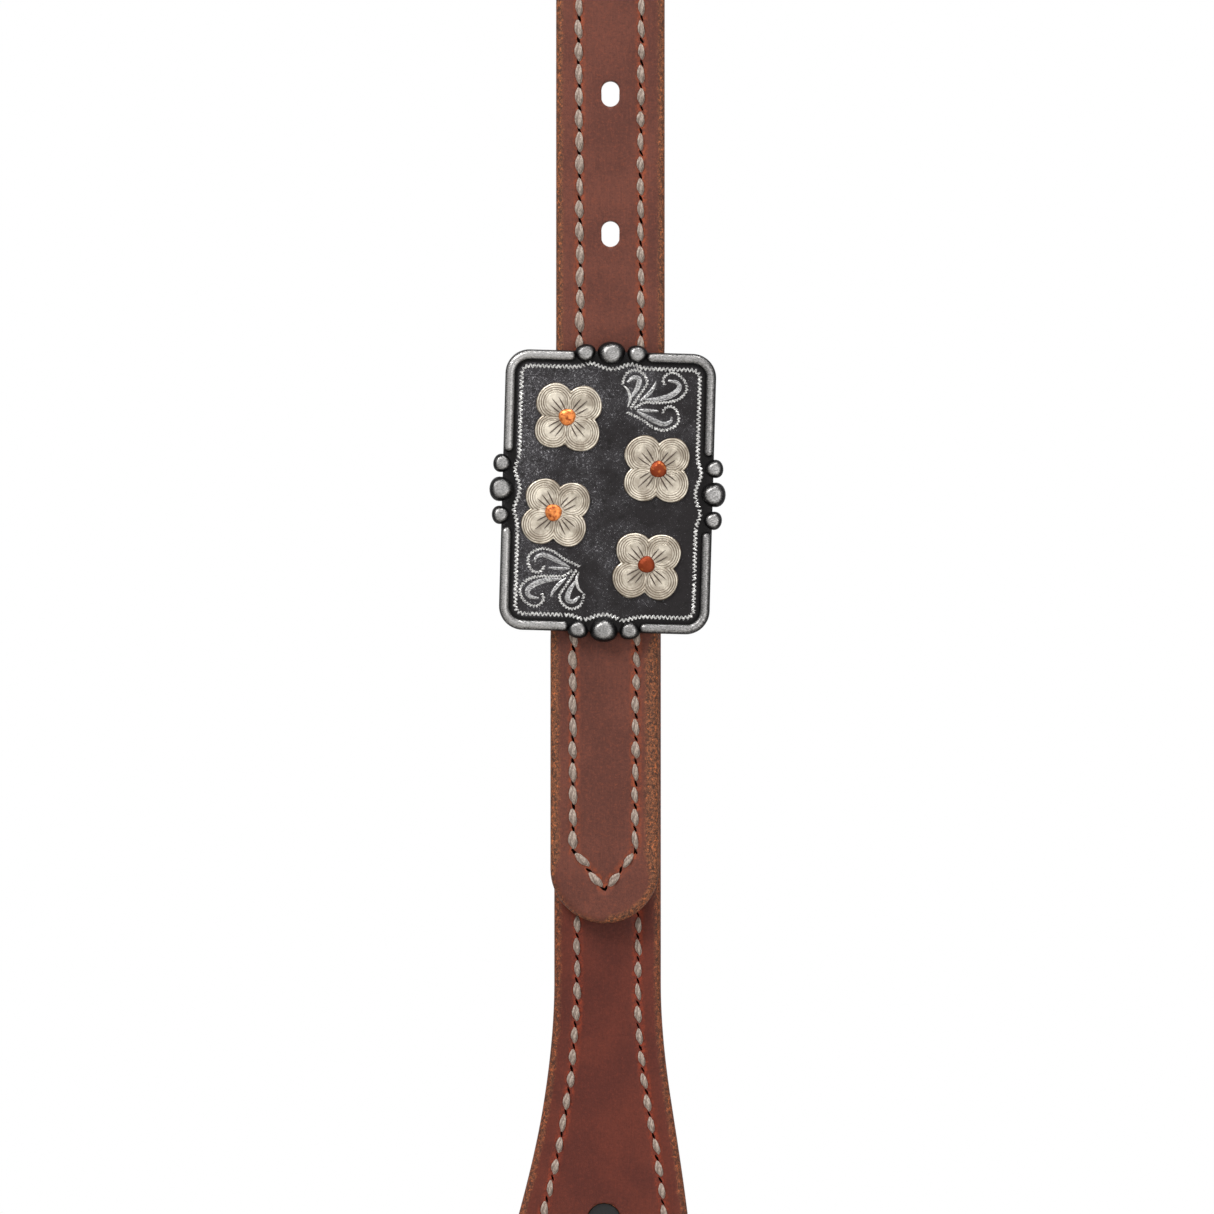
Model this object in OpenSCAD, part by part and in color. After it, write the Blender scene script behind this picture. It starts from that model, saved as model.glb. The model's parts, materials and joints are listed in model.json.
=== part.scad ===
// Western breast collar: two shaped collar halves on a centre ring, each buckled to an
// adjustable tug with a snap for the saddle, and a girth strap below the ring.
// The front faces -Y, +Z is up, and the origin is where the right snap hangs on its saddle dee.

/* [Tug straps] */
// Width of a tug strap
tug_w = 19; // [18.4:0.2:19.6]
// Thickness of one ply of a tug
tug_ply = 2.2; // [2.0:0.1:2.2]
// Distance between the tug's punched holes
hole_pitch = 24.5; // [23:0.5:25]
// Height of the snap eye above the middle of the buckle
tug_top = 150; // [146:1:170]

/* [Collar halves] */
// Width of the collar's neck, behind the tip of the tug
neck_w = 18.7; // [18:0.1:19]
// Width of the collar body
body_w = 38; // [34:1:42]
// Thickness of one ply of the collar
collar_ply = 2.5; // [2.3:0.1:2.5]
// Radius that the middle line of a collar half follows
sweep_r = 300; // [280:5:330]
// Slope of the collar half where it leaves the ring, in degrees
sweep_from = 22; // [18:1:26]

/* [Decorated buckle] */
// Width of the buckle plate over its rim
plate_w = 36.8; // [36:0.2:38]
// Height of the buckle plate over its rim
plate_h = 49; // [48.4:0.2:50]
// Turn of the right buckle plate in its strap, in degrees
plate_tilt = 1.6; // [0:0.1:2]

/* [Hardware] */
// Radius of the centre ring, to the middle of its wire
ring_r = 28; // [27:0.5:30]
// Radius of the centre ring's wire
ring_wire = 2.5; // [2.2:0.1:2.6]
// Width of the girth strap
girth_w = 25; // [24:0.5:25.5]
// Length of the girth strap's upper part
girth_len = 105; // [100:5:130]

/* [Hidden] */
$fn = 48;
eps = 0.01;
leather = "saddlebrown";
gunmetal = "dimgray";

// Snap, measured up from the middle of its eye bar
eye_bar = 2;          // radius of the eye's rods
eye_rise = 10;        // from the eye's lower bar to its upper bar
stem_r = 2.2;         // the swivel's stem and its head, inside the barrel
head_r = 3.4;
head_z = 16.4;
head_t = 2.8;
barrel_r = 5.2;
barrel_from = 12.5;
barrel_to = 46;
bolt_r = 2.6;
bolt_gap = 0.08;      // running clearance of the bolt in its barrel
bolt_travel = 8;
bolt_tip = 66;
spring_from = 21;
spring_to = 33;
knob_z = 38;
knob_r = 1.6;
hook_rod = 3;
nose_r = 3.2;
root_out = 5;         // where the hook leaves the barrel
root_z = 39.2;
shank_z = 53;
hook_turn = 9;        // radius of the hook's crown, to the middle of the rod
crown_z = 70;

// Depths from the front face of a tug, which is at -tug_ply
tip_gap = 0.6;                                  // between a tug's tip and the collar behind it
collar_front = tug_ply + tip_gap;
collar_back = collar_front + 2 * collar_ply;
bar_r = 1.75;
bar_gap = 0.1;
fold_r = bar_r + bar_gap + collar_ply;          // outside radius of the fold round the bar
bar_y = collar_front + fold_r;
tug_fold_r = eye_bar + bar_gap + tug_ply;
eye_y = tug_fold_r - tug_ply;
tail_gap = 0.1;                                 // between a folded tail and the ply it lies on

// Tug, measured from the middle of the buckle
hole_w = 3.15;
hole_h = 4.6;
hole_count = 5;
pinned_hole = -3.85;
tug_lean = 0.5;       // how far the strap stands aside above and below the buckle
tug_tip = -75.4;
seam_in = 4.1;        // from an edge to its row of stitches
seam_w = 1.3;
seam_cut = 0.4;
seam_proud = 0.2;
vee_top = -62.8;
vee_point = -69.3;
tug_tail = 36;

// Decorated buckle
plate_t = 1.8;
plate_back = -tug_ply - 0.5;
plate_front = plate_back - plate_t;
plate_corner = 4.4;
rim_r = 0.8;
rim_gap = 6.1;        // half of the gap in the rim for a group of beads
bead_r = 1.92;
small_bead_r = 1.33;
bead_step = 4.4;
tongue_reach = 17;
bar_z = pinned_hole - 15.2;
cheek_in = 10.6;
cheek_t = 2.4;
keeper_z = 15;
flower_at = [[-7.4, 12.8], [8.8, 4.1], [-9.3, -3.8], [7.2, -12.5]];
flower_turn = -3;
petal_r = 3.15;
petal_out = 2.73;
flower_t = 0.6;
copper_r = 1.48;
shank_r = 0.9;

// Middle line of a collar half: straight neck, one arc, straight lead to the ring
arc_from = 108;       // below the middle of the buckle
turn = 90 - sweep_from;
arc_len = sweep_r * turn * PI / 180;
lead = 30;
loop_half = 11;       // half the width of the tab that holds the ring
ring_sag = ring_r - sqrt(pow(ring_r, 2) - pow(loop_half, 2));
loop_in = ring_sag / 2 + ring_wire + 0.35;
loop_out = loop_in + collar_ply;
loop_at = ring_r - ring_sag / 2;
ring_y = collar_front + loop_out;
ring_tail = 36;
line_end = arc_from + arc_len + lead + ring_r - loop_at;
flare_from = 86;
flare_len = 75;
taper_len = 80;

// Middle of the right buckle, seen from the centre of the ring
buckle_x = (ring_r + lead) * cos(sweep_from) + sweep_r * (1 - sin(sweep_from));
buckle_z = (ring_r + lead) * sin(sweep_from) + sweep_r * cos(sweep_from) + arc_from;
hang = [buckle_x - hook_turn, eye_y, buckle_z + tug_top + crown_z + hook_turn - hook_rod];

// Dee for a wither strap
rivet_z = -127.6;
rivet_hole = 3.0;
rivet_head = 2.85;
rivet_shank = 1.8;
dee_ply = 1.6;
dee_wire = 1.5;
dee_gap = 0.1;
dee_fold_r = dee_wire + dee_gap + dee_ply;
dee_dir = 207;
dee_out = 28;
dee_half = 9;
dee_tab_w = 12;
dee_front = collar_back + tail_gap;

// Girth strap, measured down from the centre of the ring
girth_ply = 2.6;
girth_loop_half = 11;
heel_r = 2;
heel_fold_r = heel_r + bar_gap + girth_ply;
girth_out = loop_in + girth_ply;
girth_front = ring_y - girth_out;
heel_z = -loop_at - girth_len;
heel_y = girth_front + heel_fold_r;
frame_len = 28;
frame_half = 15.2;
frame_rod = 1.8;
far_z = heel_z - frame_len;
billet_low = heel_y + frame_rod + 0.4;          // front face of the billet below the buckle
billet_high = girth_front - 0.4 - girth_ply;    // front face of the billet over the upper strap
billet_len = 115;
billet_eye_z = far_z - billet_len;
billet_fold_r = eye_bar + bar_gap + girth_ply;
billet_eye_y = billet_low + billet_fold_r;
billet_tip_z = heel_z + 62;
girth_tail = 36;
billet_rivets = [20, 31];
ring_loop_rivets = [24, 35];                     // down from the ring
keeper_mid = heel_z + 42;
keeper_h = 11;
keeper_t = 1.6;

function smooth(t) = let (u = min(1, max(0, t))) u * u * (3 - 2 * u);
function half_width(s) = neck_w / 2 + (body_w - neck_w) / 2 * smooth((s - flare_from) / flare_len)
    - (body_w / 2 - loop_half) * smooth((s - line_end + taper_len) / taper_len);
function bend(s) = min(turn, max(0, (s - arc_from) / sweep_r * 180 / PI));
function line_x(s) = -sweep_r * (1 - cos(bend(s))) - max(0, s - arc_from - arc_len) * sin(turn);
function line_z(s) = -min(s, arc_from) - sweep_r * sin(bend(s))
    - max(0, s - arc_from - arc_len) * cos(turn);
function beside(s, w) = [line_x(s) + w * cos(bend(s)), line_z(s) - w * sin(bend(s))];
function steps(a, b, n) = [for (i = [0:n]) a + (b - a) * i / n];
function flare_steps(a) = concat(steps(a, flare_from, 1), steps(flare_from + 7.5, flare_from + flare_len, 9),
    steps(flare_from + flare_len + 15, line_end - taper_len, 14), steps(line_end - taper_len + 8, line_end, 9));

// A flat piece with its outline in X and Z, from depth y0 to depth y1
module slab(y0, y1) translate([0, y1, 0]) rotate([90, 0, 0]) linear_extrude(height = y1 - y0) children();

// Profile of a leather fold: x runs away from the loop, y from the front face to the back
module fold_profile(inner, ply, slope, rest, tail) {
    outer = inner + ply;
    intersection() {
        translate([0, outer]) difference() {
            circle(r = outer);
            circle(r = inner);
        }
        translate([-2 * outer, -outer]) square([2 * outer, 4 * outer]);
    }
    polygon([[-eps, outer + inner], [-eps, 2 * outer], [slope, rest + ply], [tail, rest + ply],
        [tail, rest], [slope, rest]]);
}
module fold(inner, ply, width, slope, rest, tail)
    linear_extrude(height = width, center = true) fold_profile(inner, ply, slope, rest, tail);

module oval(w, h) {
    for (end = [-1, 1]) translate([0, end * (h - w) / 2]) circle(d = w);
    square([w, h - w], center = true);
}
module stroke(a, b, w) {
    for (p = [a, b]) translate(p) circle(d = w, $fn = 16);
    translate(a) rotate(atan2(b[1] - a[1], b[0] - a[0])) translate([0, -w / 2]) square([norm(b - a), w]);
}
// Turns +Z to the direction d
module aim(d) rotate([0, acos(d[2] / norm(d)), atan2(d[1], d[0])]) children();

// A rod between two points, with round ends
module rod(a, b, r) {
    for (p = [a, b]) translate(p) sphere(r = r);
    translate(a) aim(b - a) cylinder(r = r, h = norm(b - a));
}
// An arc of rod in the XZ plane, round the origin
module rod_arc(turn_r, r, from, sweep)
    rotate([90, 0, 0]) rotate([0, 0, from]) rotate_extrude(angle = sweep) translate([turn_r, 0]) circle(r = r);

// Places, from the centre of the ring to the hanging point
module placed() translate(-hang) children();
module on_right() placed() translate([buckle_x, 0, buckle_z]) children();
module on_left() placed() translate([-buckle_x, 0, buckle_z]) mirror([1, 0, 0]) children();
module left_cast() placed() translate([-buckle_x, 0, buckle_z]) children();
module snap_on_tug() translate([0, eye_y, tug_top]) children();
module snap_on_girth() translate([0, billet_eye_y, billet_eye_z]) rotate([0, 180, 0]) children();

// ---- Snap ----
module snap_body() color(gunmetal) {
    bore = bolt_r + bolt_gap;
    difference() {
        rotate_extrude() polygon([
            [stem_r + 0.1, barrel_from], [barrel_r, barrel_from], [barrel_r, barrel_to],
            [bore, barrel_to], [bore, spring_from], [0, spring_from], [0, spring_from - 1.4],
            [head_r + 0.2, spring_from - 1.4], [head_r + 0.2, head_z - 0.4],
            [stem_r + 0.1, head_z - 0.4]]);
        translate([-knob_r - 0.2, -barrel_r - 1, knob_z - bolt_travel - knob_r - 0.2])
            cube([2 * knob_r + 0.4, barrel_r + 1, bolt_travel + 2 * knob_r + 0.6]);
    }
    root = [-root_out, 0, root_z];
    elbow = [-2 * hook_turn, 0, shank_z];
    translate(root) aim(elbow - root) cylinder(r = hook_rod, h = norm(elbow - root));
    translate(elbow) sphere(r = hook_rod + 0.3);
    translate(elbow) cylinder(r = hook_rod, h = crown_z - shank_z);
    translate([-hook_turn, 0, crown_z]) rod_arc(hook_turn, hook_rod, 0, 180);
    translate([0, 0, bolt_tip + 0.3]) cylinder(r = nose_r, h = crown_z + 0.8 - bolt_tip - 0.3);
}
module snap_bolt() color(gunmetal) {
    translate([0, 0, spring_to + 0.2]) cylinder(r = bolt_r, h = bolt_tip - spring_to - 0.2);
    translate([0, 0, knob_z]) rotate([90, 0, 0]) cylinder(r = knob_r, h = barrel_r + 2.6);
    translate([0, -barrel_r - 2.4, knob_z]) rotate([90, 0, 0]) cylinder(r = knob_r + 0.8, h = 1.6);
}
module snap_spring() color("silver") {
    coils = 4;
    wire = 0.4;
    pitch = (spring_to - spring_from - 0.1) / coils;
    translate([0, 0, spring_from + 0.05])
        linear_extrude(height = coils * pitch, twist = -360 * coils, slices = 12 * coils, $fn = 12)
            polygon([for (t = [0:30:330])
                let (r = 1.9 + wire * cos(t), a = 360 * wire / pitch * sin(t)) [r * cos(a), r * sin(a)]]);
}
module snap_eye() color(gunmetal) {
    half = tug_w / 2 + 3.2;
    rod([-half, 0, 0], [half, 0, 0], eye_bar);
    rod([-half, 0, eye_rise], [half, 0, eye_rise], eye_bar);
    for (side = [-1, 1]) rod([side * half, 0, 0], [side * half, 0, eye_rise], eye_bar);
    translate([0, 0, eye_rise]) cylinder(r = stem_r, h = head_z + 1 - eye_rise);
    translate([0, 0, head_z]) cylinder(r = head_r, h = head_t);
}

// ---- Tug ----
module tug_outline(top) {
    half = tug_w / 2;
    polygon(concat(
        [[-half + tug_lean, top], [-half + tug_lean, 26], [-half - tug_lean, -26]],
        [for (a = [180:15:360]) [-tug_lean + half * cos(a), tug_tip + half + half * sin(a)]],
        [[half - tug_lean, -26], [half + tug_lean, 26], [half + tug_lean, top]]));
}
module tug_holes()
    for (i = [0:hole_count - 1])
        translate([i == 0 ? 0 : tug_lean, pinned_hole + i * hole_pitch]) oval(hole_w, hole_h);
module tug_seam(w) {
    row = tug_w / 2 - seam_in;
    for (side = [-1, 1]) {
        stroke([side * row + tug_lean, tug_top - 11], [side * row + tug_lean, 26], w);
        stroke([side * row + tug_lean, 26], [side * row - tug_lean, -26], w);
        stroke([side * row - tug_lean, -26], [side * row - tug_lean, vee_top], w);
        stroke([side * row - tug_lean, vee_top], [-tug_lean, vee_point], w);
    }
}
module tug_rivet_places() for (z = [-16, -27]) translate([tug_lean, tug_top + z]) children();
module tug_outer() color(leather) difference() {
    union() {
        slab(-tug_ply, 0) tug_outline(tug_top);
        translate([tug_lean, -tug_ply, tug_top]) rotate([0, 90, 0])
            fold(eye_bar + bar_gap, tug_ply, tug_w, 12, 2 * tug_ply + tail_gap, tug_tail);
    }
    slab(-10, 20) tug_holes();
    slab(-tug_ply - 1, -tug_ply + seam_cut) tug_seam(seam_w);
    slab(-10, 20) tug_rivet_places() circle(r = rivet_shank);
}
module tug_lining() color(leather) slab(0, tug_ply) difference() {
    tug_outline(tug_top - 9);
    tug_holes();
    tug_rivet_places() circle(r = rivet_shank);
}
module tug_thread() color("tan") slab(-tug_ply - seam_proud, -tug_ply + seam_cut) tug_seam(seam_w);
module rivet(front, back, head, shank) {
    slab(front - 1.1, front) circle(r = head);
    slab(front - 1.1, back + 0.9) circle(r = shank);
    slab(back, back + 0.9) circle(r = head);
}
module tug_rivets() color(gunmetal)
    for (z = [-16, -27]) translate([tug_lean, 0, tug_top + z])
        rivet(-tug_ply, 2 * tug_ply + tail_gap, 3.6, rivet_shank);

// ---- Decorated buckle ----
module bead_places() {
    for (side = [-1, 1], i = [-1:1]) {
        r = i == 0 ? bead_r : small_bead_r;
        translate([i * bead_step, side * plate_h / 2]) bead_of(r) children();
        translate([side * plate_w / 2, i * bead_step]) bead_of(r) children();
    }
}
module bead_of(r) scale([r, r, r]) children();
module plate_outline() {
    half = [plate_w / 2 - plate_corner, plate_h / 2 - plate_corner];
    for (x = [-1, 1], z = [-1, 1]) translate([x * half[0], z * half[1]]) circle(r = plate_corner);
    square([plate_w, 2 * half[1]], center = true);
    square([2 * half[0], plate_h], center = true);
    bead_places() circle(r = 1.05);
}
module flower_places()
    for (at = flower_at) translate([at[0], 0, at[1]]) rotate([0, -flower_turn, 0]) children();
module rim_corner() {
    in = plate_corner - rim_r;
    translate([-in, 0, -in]) rod_arc(in, rim_r, 0, 90);
    rod([0, 0, -in], [0, 0, rim_gap - plate_h / 2 + rim_r], rim_r);
    rod([-in, 0, 0], [rim_gap - plate_w / 2 + rim_r, 0, 0], rim_r);
}
module buckle_plate() color(gunmetal) difference() {
    union() {
        slab(plate_front, plate_back) plate_outline();
        translate([0, plate_front, 0]) {
            for (x = [0, 1], z = [0, 1]) mirror([x, 0, 0]) mirror([0, 0, z])
                translate([plate_w / 2 - rim_r, 0, plate_h / 2 - rim_r]) rim_corner();
            for (side = [-1, 1], i = [-1:1]) {
                r = i == 0 ? bead_r : small_bead_r;
                translate([i * bead_step, 0, side * plate_h / 2]) sphere(r = r);
                translate([side * plate_w / 2, 0, i * bead_step]) sphere(r = r);
            }
        }
    }
    flower_places() slab(-10, 10) circle(r = shank_r);
}
module buckle_flowers() color("wheat") flower_places()
    slab(plate_front - flower_t, plate_front) difference() {
        union() {
            for (a = [45:90:315]) rotate(a) translate([petal_out * sqrt(2), 0]) circle(r = petal_r);
            circle(r = petal_out);
        }
        circle(r = shank_r);
    }
module flower_rivets() color("chocolate") flower_places() {
    slab(plate_front - flower_t - 0.7, plate_front - flower_t) circle(r = copper_r);
    slab(plate_front - flower_t - 0.1, plate_back) circle(r = shank_r);
}
module buckle_frame() color(gunmetal) {
    for (side = [-1, 1]) {
        x = side > 0 ? cheek_in : -cheek_in - cheek_t;
        difference() {
            translate([x, plate_back, bar_z - 3.2]) cube([cheek_t, bar_y + 3.2 - plate_back, 6.4]);
            translate([x - 1, bar_y, bar_z]) rotate([0, 90, 0]) cylinder(r = bar_r, h = cheek_t + 2);
        }
        translate([x, plate_back, keeper_z - 2]) cube([cheek_t, tug_ply + 3.6 - plate_back, 4]);
    }
    translate([-cheek_in - eps, tug_ply + 2, keeper_z]) rotate([0, 90, 0])
        cylinder(r = 1.5, h = 2 * cheek_in + 2 * eps);
}
module buckle_bar() color(gunmetal)
    translate([-cheek_in - cheek_t, bar_y, bar_z]) rotate([0, 90, 0]) cylinder(r = bar_r, h = 2 * (cheek_in + cheek_t));
module buckle_tongue() color(gunmetal) translate([0, bar_y, bar_z]) {
    prong = 1;
    reach = asin((bar_y - plate_back - 0.1) / (tongue_reach + prong));
    difference() {
        union() {
            translate([-1.5, 0, 0]) rotate([0, 90, 0]) cylinder(r = 3.2, h = 3);
            translate([-1.5, -1.1, 0]) cube([3, 2.2, tongue_reach]);
            translate([0, 0, tongue_reach]) sphere(r = 1.5);
            rotate([0, 0, -90]) rod_arc(tongue_reach, prong, 90 - reach, reach);
        }
        translate([-2, 0, 0]) rotate([0, 90, 0]) cylinder(r = bar_r + 0.05, h = 4);
    }
}

// ---- Collar half ----
module collar_outline(from, to) {
    s = [for (v = flare_steps(from)) if (v <= to) v];
    n = len(s) - 1;
    polygon(concat([for (v = s) beside(v, half_width(v))],
        [for (i = [n:-1:0]) beside(s[i], -half_width(s[i]))]));
}
module seam_strip(from, side, w) {
    s = [for (v = flare_steps(from)) if (v <= line_end - 44) v];
    n = len(s) - 1;
    polygon(concat([for (v = s) beside(v, side * (half_width(v) - seam_in) + w / 2)],
        [for (i = [n:-1:0]) beside(s[i], side * (half_width(s[i]) - seam_in) - w / 2)]));
}
module collar_seams() for (side = [-1, 1]) seam_strip(-bar_z + 8, side, seam_w);
module tongue_slot() translate([-2.1, -5, bar_z - 7]) cube([4.2, 30, 14]);
module dee_rivet_place() translate(beside(-rivet_z, 0)) children();
module ring_rivet_places()
    for (back = [20, 31]) translate(beside(line_end - back, 0)) children();
module collar_outer() color(leather) difference() {
    union() {
        slab(collar_front, collar_front + collar_ply) collar_outline(-bar_z, line_end);
        translate([0, collar_front, bar_z]) rotate([0, 90, 0])
            fold(bar_r + bar_gap, collar_ply, neck_w, 12, 2 * collar_ply + tail_gap, 34);
        translate([beside(line_end, 0)[0], collar_front, beside(line_end, 0)[1]])
            rotate([0, -sweep_from, 0])
                fold(loop_in, collar_ply, 2 * loop_half, 16, 2 * collar_ply + tail_gap, ring_tail);
    }
    tongue_slot();
    slab(-5, collar_front + seam_cut) collar_seams();
    slab(-5, 30) ring_rivet_places() circle(r = rivet_shank);
    slab(-5, 30) dee_rivet_place() circle(r = rivet_hole);
}
module collar_lining() color(leather) slab(collar_front + collar_ply, collar_back) difference() {
    collar_outline(-bar_z + 8, line_end - 14);
    ring_rivet_places() circle(r = rivet_shank);
    dee_rivet_place() circle(r = rivet_shank);
}
module collar_thread() color("tan") slab(collar_front - seam_proud, collar_front + seam_cut) collar_seams();
module ring_rivets() color(gunmetal)
    for (back = [20, 31]) translate([beside(line_end - back, 0)[0], 0, beside(line_end - back, 0)[1]])
        rivet(collar_front, collar_back + tail_gap + collar_ply, 4, rivet_shank);

// ---- Dee for a wither strap ----
module at_dee() translate([beside(-rivet_z, 0)[0], 0, beside(-rivet_z, 0)[1]])
    rotate([0, -dee_dir, 0]) children();
module dee_tab() color(leather) difference() {
    union() {
        at_dee() slab(dee_front, dee_front + dee_ply) {
            translate([0, -dee_tab_w / 2]) square([dee_out, dee_tab_w]);
            circle(d = dee_tab_w);
        }
        at_dee() translate([dee_out, dee_front, 0]) rotate([0, 180, 0])
            fold(dee_wire + dee_gap, dee_ply, dee_tab_w, 10, dee_ply + tail_gap, dee_out + 5);
    }
    at_dee() slab(-5, 30) circle(r = rivet_shank);
}
module dee() color(gunmetal) at_dee() translate([dee_out, dee_front + dee_fold_r, 0]) {
    rod([0, 0, -dee_half], [0, 0, dee_half], dee_wire);
    for (side = [-1, 1]) rod([0, 0, side * dee_half], [6, 0, side * dee_half], dee_wire);
    translate([6, 0, 0]) rod_arc(dee_half, dee_wire, -90, 180);
}
module dee_rivet() color(gunmetal) at_dee() {
    slab(collar_front + 0.5, collar_front + collar_ply) circle(r = rivet_head);
    slab(collar_front + 0.6, dee_front + 2 * dee_ply + tail_gap + 0.9) circle(r = rivet_shank);
    slab(dee_front + 2 * dee_ply + tail_gap, dee_front + 2 * dee_ply + tail_gap + 0.9) circle(r = 3.6);
}

// ---- Centre ring and girth strap ----
module centre_ring() color(gunmetal) translate([0, ring_y, 0]) rotate([90, 0, 0])
    rotate_extrude($fn = 96) translate([ring_r, 0]) circle(r = ring_wire);
module girth_rivet_places() for (z = ring_loop_rivets) translate([0, -loop_at - z]) children();
module girth_rows(from, to, w)
    for (side = [-1, 1]) stroke([side * (girth_w / 2 - seam_in), from], [side * (girth_w / 2 - seam_in), to], w);
module upper_seam(w) {
    girth_rows(-loop_at - 42, heel_z + 70, w);
    girth_rows(heel_z + 32, heel_z + 12, w);
}
module billet_seam(w) girth_rows(far_z - 8, billet_eye_z + 44, w);
module girth_strap_upper() color(leather) difference() {
    union() {
        slab(girth_front, girth_front + girth_ply) polygon([
            [-girth_loop_half, -loop_at], [-girth_w / 2, -loop_at - 18], [-girth_w / 2, heel_z],
            [girth_w / 2, heel_z], [girth_w / 2, -loop_at - 18], [girth_loop_half, -loop_at]]);
        translate([0, girth_front, -loop_at]) rotate([0, 90, 0])
            fold(loop_in, girth_ply, 2 * girth_loop_half, 20, girth_ply + tail_gap, girth_tail + 6);
        translate([0, girth_front, heel_z]) rotate([0, -90, 0])
            fold(heel_r + bar_gap, girth_ply, girth_w, 16, girth_ply + tail_gap, girth_tail);
    }
    translate([-2.1, -10, heel_z - 8]) cube([4.2, 40, 15]);
    slab(-10, girth_front + seam_cut) upper_seam(seam_w);
    slab(-10, 40) girth_rivet_places() circle(r = rivet_shank);
}
module girth_rivets() color(gunmetal) {
    for (z = ring_loop_rivets) translate([0, 0, -loop_at - z])
        rivet(girth_front, girth_front + 2 * girth_ply + tail_gap, 3.6, rivet_shank);
    for (z = billet_rivets) translate([0, 0, billet_eye_z + z])
        rivet(billet_low, billet_low + 2 * girth_ply + tail_gap, 3.6, rivet_shank);
}
module girth_thread() color("tan") {
    slab(girth_front - seam_proud, girth_front + seam_cut) upper_seam(seam_w);
    slab(billet_low - seam_proud, billet_low + seam_cut) billet_seam(seam_w);
}
// Side view of the billet: behind the far bar, then over the heel bar, with x up and y to the back
module billet_profile() polygon([
    [billet_eye_z, billet_low], [far_z + 4, billet_low], [heel_z - 2, billet_high],
    [billet_tip_z, billet_high], [billet_tip_z, billet_high + girth_ply],
    [heel_z - 1, billet_high + girth_ply], [far_z + 5, billet_low + girth_ply],
    [billet_eye_z, billet_low + girth_ply]]);
module girth_strap_billet() color(leather) difference() {
    intersection() {
        rotate([0, -90, 0]) linear_extrude(height = girth_w, center = true) billet_profile();
        slab(-30, 60) union() {
            translate([-girth_w / 2, billet_eye_z + 14])
                square([girth_w, billet_tip_z - billet_eye_z - girth_w / 2 - 14]);
            polygon([[-tug_w / 2, billet_eye_z], [-tug_w / 2, billet_eye_z + 5],
                [-girth_w / 2, billet_eye_z + 15], [girth_w / 2, billet_eye_z + 15],
                [tug_w / 2, billet_eye_z + 5], [tug_w / 2, billet_eye_z]]);
            translate([0, billet_tip_z - girth_w / 2]) circle(d = girth_w);
        }
    }
    slab(-30, 60) {
        translate([0, heel_z - 12]) oval(3.6, 17.2);
        for (z = [heel_z + 22, heel_z + 46, far_z - 20, far_z - 45, far_z - 70])
            translate([0, z]) oval(hole_w, hole_h);
        for (z = billet_rivets) translate([0, billet_eye_z + z]) circle(r = rivet_shank);
    }
    slab(-30, billet_low + seam_cut) billet_seam(seam_w);
}
module girth_billet_fold() color(leather) difference() {
    translate([0, billet_low, billet_eye_z]) rotate([0, -90, 0])
        fold(eye_bar + bar_gap, girth_ply, tug_w, 16, girth_ply + tail_gap, girth_tail);
    slab(-30, 60) for (z = billet_rivets) translate([0, billet_eye_z + z]) circle(r = rivet_shank);
}
module girth_buckle_frame() color(gunmetal) {
    for (side = [-1, 1])
        rod([side * frame_half, heel_y, heel_z], [side * frame_half, heel_y, far_z], frame_rod);
    rod([-frame_half, heel_y, far_z], [frame_half, heel_y, far_z], frame_rod);
    rod([-frame_half, heel_y, heel_z], [frame_half, heel_y, heel_z], heel_r);
}
module girth_buckle_tongue() color(gunmetal) difference() {
    prong = 1.2;
    root = [0, heel_y - 1.2, heel_z - 3.1];
    tip = [0, heel_y - frame_rod - prong - 0.25, far_z - 0.5];
    union() {
        translate([-1.5, heel_y, heel_z]) rotate([0, 90, 0]) cylinder(r = 3.4, h = 3);
        translate(root) aim(tip - root) cylinder(r = prong, h = norm(tip - root));
        translate(tip) sphere(r = prong + 0.15);
    }
    translate([-3, heel_y, heel_z]) rotate([0, 90, 0]) cylinder(r = heel_r + 0.05, h = 6);
}
module girth_keeper() color(leather) {
    inner = girth_w / 2 + 0.5;
    front = billet_high - 0.3;
    back = girth_front + girth_ply + 0.5;
    difference() {
        translate([-inner - keeper_t, front - keeper_t, keeper_mid - keeper_h / 2])
            cube([2 * (inner + keeper_t), back - front + 2 * keeper_t, keeper_h]);
        translate([-inner, front, keeper_mid - keeper_h]) cube([2 * inner, back - front, 2 * keeper_h]);
    }
}

on_right() snap_on_tug() snap_body();  // right_snap_body
on_right() snap_on_tug() snap_bolt();  // right_snap_bolt
on_right() snap_on_tug() snap_spring();  // right_snap_spring
on_right() snap_on_tug() snap_eye();  // right_snap_eye
on_right() tug_outer();  // right_tug_outer
on_right() tug_lining();  // right_tug_lining
on_right() tug_thread();  // right_tug_thread
on_right() tug_rivets();  // right_tug_rivets
on_right() rotate([0, plate_tilt, 0]) buckle_plate();  // right_buckle_plate
on_right() rotate([0, plate_tilt, 0]) buckle_flowers();  // right_buckle_flowers
on_right() rotate([0, plate_tilt, 0]) flower_rivets();  // right_flower_rivets
on_right() buckle_frame();  // right_buckle_frame
on_right() buckle_bar();  // right_buckle_bar
on_right() buckle_tongue();  // right_buckle_tongue
on_right() collar_outer();  // right_collar_outer
on_right() collar_lining();  // right_collar_lining
on_right() collar_thread();  // right_collar_thread
on_right() ring_rivets();  // right_ring_rivets
on_right() dee_tab();  // right_dee_tab
on_right() dee();  // right_dee
on_right() dee_rivet();  // right_dee_rivet
on_left() snap_on_tug() snap_body();  // left_snap_body
on_left() snap_on_tug() snap_bolt();  // left_snap_bolt
on_left() snap_on_tug() snap_spring();  // left_snap_spring
on_left() snap_on_tug() snap_eye();  // left_snap_eye
on_left() tug_outer();  // left_tug_outer
on_left() tug_lining();  // left_tug_lining
on_left() tug_thread();  // left_tug_thread
on_left() tug_rivets();  // left_tug_rivets
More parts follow.
